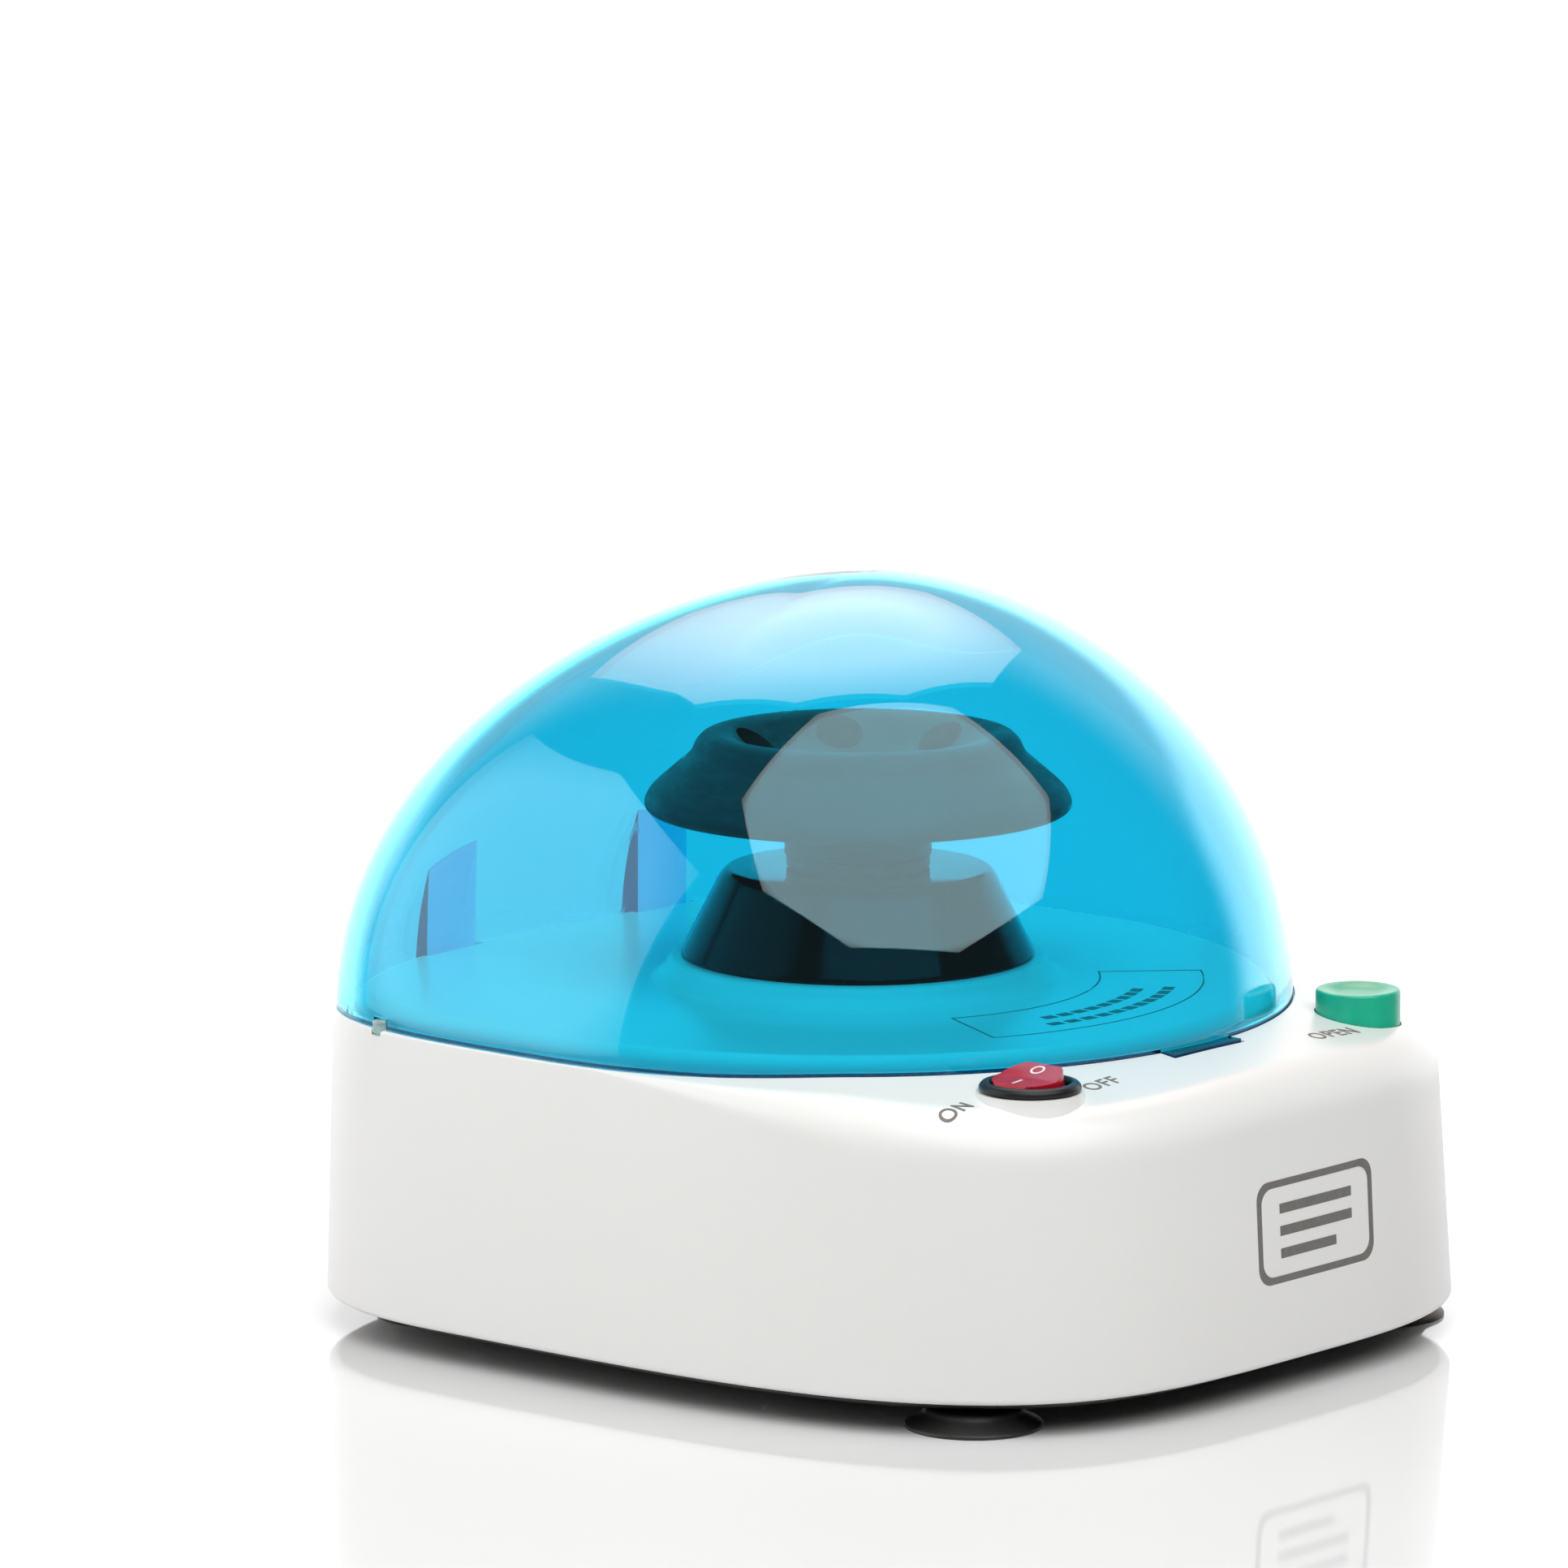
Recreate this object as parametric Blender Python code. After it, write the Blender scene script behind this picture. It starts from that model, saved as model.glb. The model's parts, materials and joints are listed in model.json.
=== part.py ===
"""A bench-top mini centrifuge with a tinted dome lid, built as separate working pieces.

Units are metres and +Z is up.  The origin is on the ground, under the middle of the
object.  The front, with the controls, faces -Y, and the lid hinges at the back, +Y.
"""
import math

import bmesh
import bpy
from mathutils import Matrix, Vector

# ---------------------------------------------------------------- driving dimensions
GAP = 0.0003                    # clearance between neighbouring pieces
PLAN_STEPS = 60                 # points round the housing, the pan and the lid

# heights above the ground
HOUSING_BOTTOM = 0.0074
PAN_BOTTOM = 0.0044
SEAT_Z = 0.0726                 # the ledge that the lid closes on
RIM_Z = 0.0731                  # lower edge of the closed lid
DECK_Z = 0.0777                 # floor of the chamber, inside the lid
BOSS_Z = 0.0829                 # raised ring that carries the motor cover
COVER_TOP_Z = 0.1029
ROTOR_Z = 0.1166                # lower face of the rotor's centre
APEX_Z = 0.1713                 # top of the dome

# plan of the housing and of the lid, measured from the rotor's axis
BODY_FRONT = 0.129
BODY_REAR = 0.104
BODY_HALF_WIDTH = 0.1055
DRAFT = 0.0445                  # how much the walls lean in for each metre of height
INLET_PROUD = 0.0006
ROTOR_Y = (BODY_FRONT - BODY_REAR - INLET_PROUD) / 2
BODY_PLAN = {"half_width": BODY_HALF_WIDTH, "front": BODY_FRONT, "rear": BODY_REAR,
             "middle": 0.030, "front_power": 3.5, "rear_power": 2.85}
LID_PLAN = {"half_width": 0.1025, "front": 0.0985, "rear": 0.1005,
            "middle": 0.005, "front_power": 2.0, "rear_power": 3.6}
APEX_BEHIND_AXIS = -0.0024      # the dome's highest point, from the rotor's axis

WALL = 0.0025                   # housing and pan
PAN_TAPER = 0.0095              # the pan's edge slopes in by this much
LID_WALL = 0.0030
DOME_POWER = 0.54               # 0.5 is an ellipsoid, more is a little more pointed
CORNER_RADIUS = 0.012           # rolled front edge of the housing
DECK_STEP = 0.0015              # the front deck starts this much above the ledge
SIDE_STEP = 0.0002              # and hardly above it where the deck is narrow
DECK_STEP_RUN = 0.010           # deck width at which the step is full
DECK_SLOPE = 0.15               # the front deck falls away from the lid
DECK_RADIUS = 0.0035
LEDGE_WIDTH = 0.0042            # from the lid's outer edge to the chamber floor's wall
REAR_DIP = 0.004                # the ledge is lower at the back, where the lid swings in
REAR_DIP_START = 0.082
REAR_DIP_LENGTH = 0.012

# the lid's hinge
HINGE_Y = 0.0925                # behind the rotor's axis
HINGE_Z = 0.0595
ARM_INNER_X = 0.028
ARM_OUTER_X = 0.0455
ARM_FRONT_Y = 0.0918
ARM_EYE_RADIUS = 0.005
PIN_RADIUS = 0.0015

# rotor and drive
SHAFT_RADIUS = 0.0025
TUBE_COUNT = 6
FIRST_TUBE = math.radians(-9.6)
TUBE_RADIUS = 0.0055
TUBE_MOUTH_RADIUS = 0.025
TUBE_MOUTH_Z = 0.1295
HUB_RADIUS = 0.01675
MOTOR_RADIUS = 0.0175
MOTOR_BOTTOM_Z = 0.024
MOTOR_PLATE_Z = 0.0740

# controls on the front deck
CONTROL_X = 0.0588
CONTROL_FRONT = 0.0984          # in front of the rotor's axis
PAD_Z = 0.0728
PAD_RADIUS = 0.0117
BEZEL_RADIUS = 0.01125
ROCKER_TILT = math.radians(12)
ROCKER_PIVOT_Z = 0.0719
ROCKER_REACH = 0.0079
BUTTON_RADIUS = 0.0096
BUTTON_TOP_Z = 0.0784

# latch under the front of the lid
LATCH_BAR_Z = 0.0435
HOOK_HALF_WIDTH = 0.005
TAB_HALF_WIDTH = 0.012

# feet and fasteners
FOOT_RADIUS = 0.0153
FRONT_FOOT = (0.0727, -0.0942)
REAR_FOOT = (0.0660, 0.0680)
SCREW_SPOTS = ((0.078, -0.042), (0.080, 0.044))


# ---------------------------------------------------------------- materials
def make_material(name, color, roughness, metallic=0.0, alpha=1.0):
    material = bpy.data.materials.new(name)
    material.use_nodes = True
    shader = material.node_tree.nodes["Principled BSDF"]
    shader.inputs["Base Color"].default_value = (*color, 1.0)
    shader.inputs["Roughness"].default_value = roughness
    shader.inputs["Metallic"].default_value = metallic
    shader.inputs["Alpha"].default_value = alpha
    material.diffuse_color = (*color, alpha)
    return material


def make_materials():
    return {
        "white": make_material("white_housing", (0.84, 0.84, 0.82), 0.35),
        "dark_pan": make_material("dark_pan", (0.05, 0.045, 0.045), 0.55),
        "lid": make_material("blue_lid", (0.0, 0.48, 0.80), 0.05, alpha=0.4),
        "gloss_black": make_material("gloss_black", (0.012, 0.012, 0.013), 0.08),
        "matte_black": make_material("matte_black", (0.035, 0.035, 0.037), 0.55),
        "green": make_material("green_button", (0.01, 0.42, 0.24), 0.35),
        "red": make_material("red_rocker", (0.62, 0.01, 0.04), 0.15),
        "bezel": make_material("black_bezel", (0.02, 0.02, 0.022), 0.4),
        "rubber": make_material("black_rubber", (0.015, 0.015, 0.016), 0.7),
        "clear": make_material("clear_bumper", (0.8, 0.85, 0.85), 0.2, alpha=0.5),
        "steel": make_material("steel", (0.62, 0.62, 0.63), 0.3, metallic=1.0),
        "brass": make_material("brass", (0.75, 0.55, 0.25), 0.3, metallic=1.0),
        "nylon": make_material("nylon", (0.75, 0.73, 0.66), 0.5),
        "board": make_material("circuit_board", (0.01, 0.16, 0.07), 0.4),
        "capacitor": make_material("capacitor_sleeve", (0.02, 0.03, 0.12), 0.3),
    }


# ---------------------------------------------------------------- mesh helpers
def finish_mesh(bm, name, material, smooth_angle=32):
    """Turns a closed bmesh into an object with its faces pointing out."""
    bmesh.ops.recalc_face_normals(bm, faces=bm.faces)
    if bm.calc_volume(signed=True) < 0:
        bmesh.ops.reverse_faces(bm, faces=bm.faces)
    mesh = bpy.data.meshes.new(name)
    bm.to_mesh(mesh)
    bm.free()
    mesh.materials.append(material)
    mesh.shade_smooth()
    mesh.set_sharp_from_angle(angle=math.radians(smooth_angle))
    obj = bpy.data.objects.new(name, mesh)
    bpy.context.scene.collection.objects.link(obj)
    return obj


def loft(name, rings, material, closed=False):
    """A skin over rings of points.  Closed joins the last ring to the first."""
    bm = bmesh.new()
    loops = [[bm.verts.new(point) for point in ring] for ring in rings]
    pairs = list(zip(loops, loops[1:]))
    if closed:
        pairs.append((loops[-1], loops[0]))
    else:
        bm.faces.new(list(reversed(loops[0])))
        bm.faces.new(loops[-1])
    for lower, upper in pairs:
        for i in range(len(lower)):
            j = (i + 1) % len(lower)
            bm.faces.new((lower[i], lower[j], upper[j], upper[i]))
    return finish_mesh(bm, name, material)


def turned(name, profile, material, centre=(0.0, 0.0), steps=48):
    """A round piece from (radius, height) points.

    A profile that starts and ends on the axis is a solid; any other profile is a
    loop round the axis, joined from its last point back to its first.
    """
    on_axis = profile[0][0] == 0.0
    bm = bmesh.new()
    verts = [bm.verts.new((r + centre[0], centre[1], z)) for r, z in profile]
    edges = [bm.edges.new(pair) for pair in zip(verts, verts[1:])]
    if not on_axis:
        edges.append(bm.edges.new((verts[-1], verts[0])))
    bmesh.ops.spin(bm, geom=verts + edges, cent=(*centre, 0.0), axis=(0, 0, 1),
                   angle=math.tau, steps=steps, use_merge=True)
    bmesh.ops.remove_doubles(bm, verts=bm.verts, dist=1e-6)
    return finish_mesh(bm, name, material)


def block(name, low, high, material):
    """A box from its lowest to its highest corner."""
    bm = bmesh.new()
    bmesh.ops.create_cube(bm, size=1.0)
    low, high = Vector(low), Vector(high)
    middle = (low + high) / 2
    scale = Matrix.Diagonal((*(high - low), 1.0))
    bmesh.ops.transform(bm, matrix=Matrix.Translation(middle) @ scale, verts=bm.verts)
    return finish_mesh(bm, name, material)


def extruded(name, outline, start, end, material, axis="X"):
    """An outline pushed along an axis.  The outline is in YZ for X, and in XZ for Y."""
    if axis == "X":
        rings = [[(x, a, b) for a, b in outline] for x in (start, end)]
    else:
        rings = [[(a, y, b) for a, b in outline] for y in (start, end)]
    return loft(name, rings, material)


def rod(name, start, end, radius, material, sides=20):
    """A round bar between two points."""
    start, end = Vector(start), Vector(end)
    along = end - start
    bm = bmesh.new()
    bmesh.ops.create_cone(bm, cap_ends=True, segments=sides, radius1=radius,
                          radius2=radius, depth=along.length)
    turn = along.to_track_quat("Z", "Y").to_matrix().to_4x4()
    place = Matrix.Translation((start + end) / 2) @ turn
    bmesh.ops.transform(bm, matrix=place, verts=bm.verts)
    return finish_mesh(bm, name, material)


def wire(name, points, radius, material):
    """A round wire along points, with closed ends."""
    curve = bpy.data.curves.new(name, "CURVE")
    curve.dimensions = "3D"
    curve.bevel_depth = radius
    curve.bevel_resolution = 0
    curve.use_fill_caps = True
    curve.materials.append(material)
    spline = curve.splines.new("POLY")
    spline.points.add(len(points) - 1)
    for point, place in zip(spline.points, points):
        point.co = (*place, 1.0)
    obj = bpy.data.objects.new(name, curve)
    bpy.context.scene.collection.objects.link(obj)
    return obj


def combine(obj, operation, tools):
    """Cuts, joins or intersects an object with tools, which are then removed."""
    for tool in tools:
        modifier = obj.modifiers.new(operation.lower(), "BOOLEAN")
        modifier.operation = operation
        modifier.solver = "EXACT"
        modifier.object = tool
        bpy.context.view_layer.update()
        result = obj.evaluated_get(bpy.context.evaluated_depsgraph_get())
        mesh = bpy.data.meshes.new_from_object(result)
        obj.modifiers.clear()
        old_mesh = obj.data
        obj.data = mesh
        bpy.data.meshes.remove(old_mesh)
        bpy.data.objects.remove(tool, do_unlink=True)
    bm = bmesh.new()
    bm.from_mesh(obj.data)
    bmesh.ops.remove_doubles(bm, verts=bm.verts, dist=2e-6)
    bmesh.ops.dissolve_degenerate(bm, edges=bm.edges, dist=2e-6)
    bm.to_mesh(obj.data)
    bm.free()
    obj.data.shade_smooth()
    obj.data.set_sharp_from_angle(angle=math.radians(32))
    return obj


def move_origin(obj, point):
    """Puts an object's origin on its joint's axis and leaves its shape in place."""
    obj.data.transform(Matrix.Translation(-Vector(point)))
    obj.location = point


# ---------------------------------------------------------------- plan outlines
def plan_radius(plan, angle, inset=0.0):
    """How far an outline is from the rotor's axis, in a direction.

    The outline is a superellipse, with its own length and power before and behind
    its widest line, so the distance is found by halving an interval.
    """
    width = plan["half_width"] - inset
    near, far = 0.0, 0.3
    for _ in range(40):
        radius = (near + far) / 2
        x = radius * math.cos(angle)
        y = radius * math.sin(angle) - plan["middle"]
        if y < 0:
            power = plan["front_power"]
            length = plan["front"] - inset + plan["middle"]
        else:
            power = plan["rear_power"]
            length = plan["rear"] - inset - plan["middle"]
        if abs(x / width) ** power + abs(y / length) ** power < 1.0:
            near = radius
        else:
            far = radius
    return radius


def around():
    """The directions of the points round an outline."""
    return [math.tau * i / PLAN_STEPS for i in range(PLAN_STEPS)]


def at(radius, angle, z):
    """A point given from the rotor's axis."""
    return (radius * math.cos(angle), ROTOR_Y + radius * math.sin(angle), z)


def ring(radius, z):
    """Radius and height may each be a number or a function of the direction."""
    points = []
    for angle in around():
        r = radius(angle) if callable(radius) else radius
        h = z(angle) if callable(z) else z
        points.append(at(r, angle, h))
    return points


def smoothstep(value):
    value = min(max(value, 0.0), 1.0)
    return value * value * (3 - 2 * value)


# ---------------------------------------------------------------- housing
def lid_edge(angle):
    return plan_radius(LID_PLAN, angle)


def wall_top(angle):
    """Outer face of the housing's wall where it meets the deck."""
    lean = DRAFT * (SEAT_Z - HOUSING_BOTTOM)
    return max(plan_radius(BODY_PLAN, angle, lean), lid_edge(angle) + 0.0008)


def roll_radius(angle):
    """The rolled edge is large at the front and nearly sharp under the lid's sides."""
    room = wall_top(angle) - lid_edge(angle)
    return min(max(0.55 * room, 0.0005), CORNER_RADIUS)


def seat_height(angle):
    """The ledge under the lid's rim, lower at the back."""
    back = lid_edge(angle) * math.sin(angle)
    return SEAT_Z - REAR_DIP * smoothstep((back - REAR_DIP_START) / REAR_DIP_LENGTH)


def deck_run(angle):
    """Width of the flat part of the deck, from the lid to the rolled edge."""
    return max(wall_top(angle) - roll_radius(angle) - lid_edge(angle), 0.0)


def deck_start_height(angle):
    """Where the front deck begins, a small step above the ledge."""
    step = SIDE_STEP + (DECK_STEP - SIDE_STEP) * smoothstep(deck_run(angle) / DECK_STEP_RUN)
    return seat_height(angle) + step


def deck_edge_height(angle):
    """Where the sloping front deck meets the rolled edge."""
    return deck_start_height(angle) - DECK_SLOPE * deck_run(angle)


def roll_ring(turn, inset=0.0):
    """A ring along the rolled edge.  Turn 0 is on the wall, and 90 is on the deck."""
    def radius(angle):
        r = roll_radius(angle)
        arc = max(r - inset, 0.0002)
        return wall_top(angle) - max(r, inset) + arc * math.cos(math.radians(turn))

    def height(angle):
        r = roll_radius(angle)
        arc = max(r - inset, 0.0002)
        return deck_edge_height(angle) - max(r, inset) + arc * math.sin(math.radians(turn))

    return ring(radius, height)


def housing_rings():
    """The housing's skin: up the outside, down the motor's bore and back inside."""
    def seat_edge(angle):
        return min(lid_edge(angle) + 0.0004, wall_top(angle) - roll_radius(angle) - 0.0002)

    def deck_wall(inset=0.0):
        return lambda angle: lid_edge(angle) - LEDGE_WIDTH - inset

    def seat_under(angle):
        return seat_height(angle) - WALL

    inner_deck_z = DECK_Z - WALL
    outside = [
        ring(lambda a: plan_radius(BODY_PLAN, a, 0.0016), HOUSING_BOTTOM),
        ring(lambda a: plan_radius(BODY_PLAN, a, 0.0005), HOUSING_BOTTOM + 0.0004),
        ring(lambda a: plan_radius(BODY_PLAN, a), HOUSING_BOTTOM + 0.0016),
        roll_ring(0), roll_ring(30), roll_ring(60), roll_ring(90),
        ring(seat_edge, deck_start_height),
        ring(seat_edge, seat_height),
        ring(deck_wall(), seat_height),
        ring(deck_wall(), DECK_Z - DECK_RADIUS),
        ring(deck_wall(0.3 * DECK_RADIUS), DECK_Z - 0.3 * DECK_RADIUS),
        ring(deck_wall(DECK_RADIUS), DECK_Z),
        ring(0.0490, DECK_Z),
        ring(0.0460, DECK_Z + 0.0012),
        ring(0.0438, DECK_Z + 0.0040),
        ring(0.0425, BOSS_Z),
        ring(0.0260, BOSS_Z),
    ]
    inside = [
        ring(0.0260, BOSS_Z - WALL),
        ring(0.0410, BOSS_Z - WALL),
        ring(0.0450, inner_deck_z),
        ring(deck_wall(WALL), inner_deck_z),
        ring(deck_wall(WALL), seat_under),
        roll_ring(90, WALL), roll_ring(45, WALL), roll_ring(0, WALL),
        ring(lambda a: plan_radius(BODY_PLAN, a, WALL), HOUSING_BOTTOM),
    ]
    return outside + inside


def control_place(side):
    """Centre of the switch, side -1, or of the button, side 1."""
    return (side * CONTROL_X, ROTOR_Y - CONTROL_FRONT)


def make_upper_housing(mats):
    housing = loft("upper_housing", housing_rings(), mats["white"], closed=True)
    switch_x, switch_y = control_place(-1)
    button_x, button_y = control_place(1)
    posts = []
    for x, y in SCREW_SPOTS:
        for side in (-1, 1):
            spot = (side * x, ROTOR_Y + y)
            posts.append(rod("post", (*spot, HOUSING_BOTTOM + 0.006),
                             (*spot, DECK_Z - 0.0012), 0.0042, mats["white"], 16))
    pad = rod("pad", (switch_x, switch_y, SEAT_Z - 0.0060),
              (switch_x, switch_y, PAD_Z + 0.002), PAD_RADIUS, mats["white"], 40)
    combine(housing, "UNION", posts + [pad])

    holes = [
        rod("flat", (switch_x, switch_y, PAD_Z), (switch_x, switch_y, PAD_Z + 0.010),
            PAD_RADIUS + 0.0002, mats["white"], 40),
        rod("hole", (switch_x, switch_y, 0.055), (switch_x, switch_y, 0.085), 0.0102,
            mats["white"], 32),
        rod("hole", (button_x, button_y, 0.055), (button_x, button_y, 0.085),
            BUTTON_RADIUS + GAP, mats["white"], 40),
    ]
    for x, y in SCREW_SPOTS:
        for side in (-1, 1):
            spot = (side * x, ROTOR_Y + y)
            holes.append(rod("hole", (*spot, 0.0), (*spot, 0.022), 0.0018,
                             mats["white"], 12))
    lip_y = ROTOR_Y - LID_PLAN["front"]
    holes.append(block("hole", (-TAB_HALF_WIDTH - 0.0006, lip_y - 0.0037, SEAT_Z - 0.0017),
                       (TAB_HALF_WIDTH + 0.0006, lip_y + 0.0036, SEAT_Z + 0.003),
                       mats["white"]))
    holes.append(block("hole", (-HOOK_HALF_WIDTH - 0.0006, lip_y - 0.0037, 0.060),
                       (HOOK_HALF_WIDTH + 0.0006, lip_y + 0.0033, SEAT_Z + 0.003),
                       mats["white"]))
    for inner, outer in ((ARM_INNER_X, ARM_OUTER_X + 0.0020),
                         (-ARM_OUTER_X, -ARM_INNER_X + 0.0020)):
        holes.append(block("hole", (inner - 0.0007, ROTOR_Y + 0.0909, HINGE_Z - 0.0065),
                           (outer + 0.0007, ROTOR_Y + 0.112, DECK_Z + 0.01),
                           mats["white"]))
    holes.append(rod("hole", (0, ROTOR_Y + 0.095, 0.030), (0, ROTOR_Y + 0.110, 0.030),
                     0.0056, mats["white"], 28))
    for side in (-1, 1):
        x, y = bumper_place(side)
        holes.append(rod("hole", (x, y, SEAT_Z - 0.0012), (x, y, SEAT_Z + 0.005),
                         0.0024, mats["white"], 16))
    return combine(housing, "DIFFERENCE", holes)


def make_base_pan(mats):
    """A shallow dark pan that closes the housing from below, with a sloping edge."""
    def edge(inset):
        return lambda angle: plan_radius(BODY_PLAN, angle, inset)

    lip = WALL + GAP
    floor_top = PAN_BOTTOM + WALL
    rings = [
        ring(edge(PAN_TAPER), PAN_BOTTOM),
        ring(edge(0.0020), HOUSING_BOTTOM - GAP),
        ring(edge(lip), HOUSING_BOTTOM - GAP),
        ring(edge(lip), HOUSING_BOTTOM + 0.004),
        ring(edge(lip + 0.0018), HOUSING_BOTTOM + 0.004),
        ring(edge(lip + 0.0022), HOUSING_BOTTOM + 0.001),
        ring(edge(PAN_TAPER), floor_top),
    ]
    pan = loft("base_pan", rings, mats["dark_pan"])
    stands = []
    for x in (-0.024, 0.024):
        for y in (0.048, 0.078):
            spot = (x, ROTOR_Y + y)
            stands.append(rod("stand", (*spot, floor_top - 0.001), (*spot, 0.0110),
                              0.0030, mats["dark_pan"], 12))
    combine(pan, "UNION", stands)
    holes = []
    for x, y in foot_places():
        holes.append(rod("hole", (x, y, 0.0), (x, y, 0.012), 0.0033, mats["dark_pan"], 16))
    for x, y in SCREW_SPOTS:
        for side in (-1, 1):
            spot = (side * x, ROTOR_Y + y)
            holes.append(rod("hole", (*spot, 0.0), (*spot, 0.012), 0.0019,
                             mats["dark_pan"], 12))
    for i in range(-3, 4):
        holes.append(block("hole", (i * 0.009 - 0.0015, ROTOR_Y - 0.020, 0.0),
                           (i * 0.009 + 0.0015, ROTOR_Y + 0.020, 0.012),
                           mats["dark_pan"]))
    return combine(pan, "DIFFERENCE", holes)


def foot_places():
    return [(side * x, ROTOR_Y + y) for x, y in (FRONT_FOOT, REAR_FOOT) for side in (-1, 1)]


def make_feet(mats):
    """Four suction feet, each with a stem that buttons through the pan."""
    names = ("suction_foot_front_left", "suction_foot_front_right",
             "suction_foot_rear_left", "suction_foot_rear_right")
    neck_z = PAN_BOTTOM - GAP
    stem_z = PAN_BOTTOM + WALL + GAP
    profile = [(0.0, 0.0022), (0.0060, 0.0020), (0.0110, 0.0011), (0.0138, 0.0),
               (FOOT_RADIUS, 0.0), (FOOT_RADIUS, 0.0008), (0.0130, 0.0019),
               (0.0112, 0.0030), (0.0105, neck_z), (0.0030, neck_z), (0.0030, stem_z),
               (0.0044, stem_z), (0.0034, stem_z + 0.0016), (0.0, stem_z + 0.0016)]
    for name, place in zip(names, foot_places()):
        turned(name, profile, mats["rubber"], place, steps=18)


def make_base_screws(mats):
    """Four screws from below, through the pan and into the housing's posts."""
    number = 0
    under = PAN_BOTTOM - GAP
    profile = [(0.0, under - 0.0016), (0.0024, under - 0.0016), (0.0030, under - 0.0008),
               (0.0030, under), (0.0014, under), (0.0014, 0.0190), (0.0, 0.0202)]
    for x, y in SCREW_SPOTS:
        for side in (-1, 1):
            number += 1
            turned(f"base_screw_{number}", profile, mats["steel"],
                   (side * x, ROTOR_Y + y), steps=12)


# ---------------------------------------------------------------- lid
def dome_ring(plan_inset, angle_up, foot_z, top_z):
    """A ring of the dome: the rim's outline, drawn in towards the apex."""
    apex_y = ROTOR_Y + APEX_BEHIND_AXIS
    shrink = math.cos(angle_up) ** (2 * DOME_POWER)
    z = foot_z + (top_z - foot_z) * math.sin(angle_up)
    points = []
    for angle in around():
        x, y, _ = at(plan_radius(LID_PLAN, angle, plan_inset), angle, z)
        points.append((x * shrink, apex_y + (y - apex_y) * shrink, z))
    return points


def dome_climb(steps=8):
    """Angles from the rim to just under the apex."""
    return [math.radians(88.0) * i / steps for i in range(steps + 1)]


def bumper_place(side):
    """Centre of a lid bumper, on the seam near the back of each side."""
    angle = math.atan2(0.057, side * 0.0992)
    radius = lid_edge(angle) - 0.0006
    x, y, _ = at(radius, angle, 0.0)
    return x, y


def make_lid(mats):
    """Dome, hinge arms and latch hook, moulded as one piece."""
    outer = [dome_ring(0.0, climb, RIM_Z, APEX_Z) for climb in dome_climb()]
    inner = [dome_ring(LID_WALL, climb, RIM_Z, APEX_Z - LID_WALL) for climb in dome_climb()]
    lid = loft("lid_dome", list(reversed(outer)), mats["lid"])
    hollow = loft("hollow", [dome_ring(LID_WALL, 0.0, RIM_Z - 0.01, APEX_Z)] + inner,
                  mats["lid"])
    full_dome = loft("full_dome", outer, mats["lid"])
    combine(lid, "DIFFERENCE", [hollow])

    arms = []
    for side in (-1, 1):
        xs = sorted((side * ARM_INNER_X, side * ARM_OUTER_X))
        arms.append(block("rib", (xs[0], ROTOR_Y + ARM_FRONT_Y, RIM_Z + 0.0002),
                          (xs[1], ROTOR_Y + 0.110, RIM_Z + 0.034), mats["lid"]))
    for arm in arms:
        clip = full_dome.copy()
        clip.data = full_dome.data.copy()
        bpy.context.scene.collection.objects.link(clip)
        combine(arm, "INTERSECT", [clip])
    bpy.data.objects.remove(full_dome, do_unlink=True)
    for side in (-1, 1):
        arms.append(make_arm_foot(side, mats))
    combine(lid, "UNION", arms + make_hook_pieces(mats))

    holes = []
    for side in (-1, 1):
        x, y = bumper_place(side)
        holes.append(rod("notch", (x, y, RIM_Z - 0.002), (x, y, RIM_Z + 0.0022), 0.0025,
                         mats["lid"], 16))
    axis_y = ROTOR_Y + HINGE_Y
    holes.append(rod("pin_hole", (-0.06, axis_y, HINGE_Z), (0.06, axis_y, HINGE_Z),
                     PIN_RADIUS + GAP, mats["lid"], 16))
    combine(lid, "DIFFERENCE", holes)
    move_origin(lid, (0.0, axis_y, HINGE_Z))
    return lid


def make_arm_foot(side, mats):
    """The arm below the rim: a strap that widens into the eye round the hinge pin."""
    front = ROTOR_Y + ARM_FRONT_Y
    back = ROTOR_Y + LID_PLAN["rear"] - LID_WALL + 0.0008
    outline = [(back, RIM_Z + 0.0030), (front, RIM_Z + 0.0030)]
    for turn in range(150, 391, 24):
        angle = math.radians(turn)
        outline.append((ROTOR_Y + HINGE_Y + ARM_EYE_RADIUS * math.cos(angle),
                        HINGE_Z + ARM_EYE_RADIUS * math.sin(angle)))
    xs = sorted((side * ARM_INNER_X, side * ARM_OUTER_X))
    return extruded("arm_foot", outline, xs[0] + 0.00005, xs[1] - 0.00005, mats["lid"])


def make_hook_pieces(mats):
    """The tab at the front of the rim, and the hook under it that the latch holds."""
    lip_y = ROTOR_Y - LID_PLAN["front"]
    tab = block("tab", (-TAB_HALF_WIDTH, lip_y - 0.0029, SEAT_Z - 0.0012),
                (TAB_HALF_WIDTH, lip_y + 0.0024, RIM_Z + 0.0011), mats["lid"])
    stem = block("stem", (-HOOK_HALF_WIDTH, lip_y - 0.0004, 0.0606),
                 (HOOK_HALF_WIDTH, lip_y + 0.0025, SEAT_Z), mats["lid"])
    lip = block("lip", (-HOOK_HALF_WIDTH, lip_y - 0.0029, 0.0598),
                (HOOK_HALF_WIDTH, lip_y + 0.0025, 0.0623), mats["lid"])
    return [tab, stem, lip]


def make_bumpers(mats):
    """Small clear pads that stop the lid against the ledge."""
    for side, name in ((-1, "lid_bumper_left"), (1, "lid_bumper_right")):
        x, y = bumper_place(side)
        low, high = SEAT_Z - 0.0009, RIM_Z + 0.0018
        turned(name, [(0.0, low), (0.0021, low), (0.0021, high - 0.0006), (0.0015, high),
                      (0.0, high)], mats["clear"], (x, y), steps=16)


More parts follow.
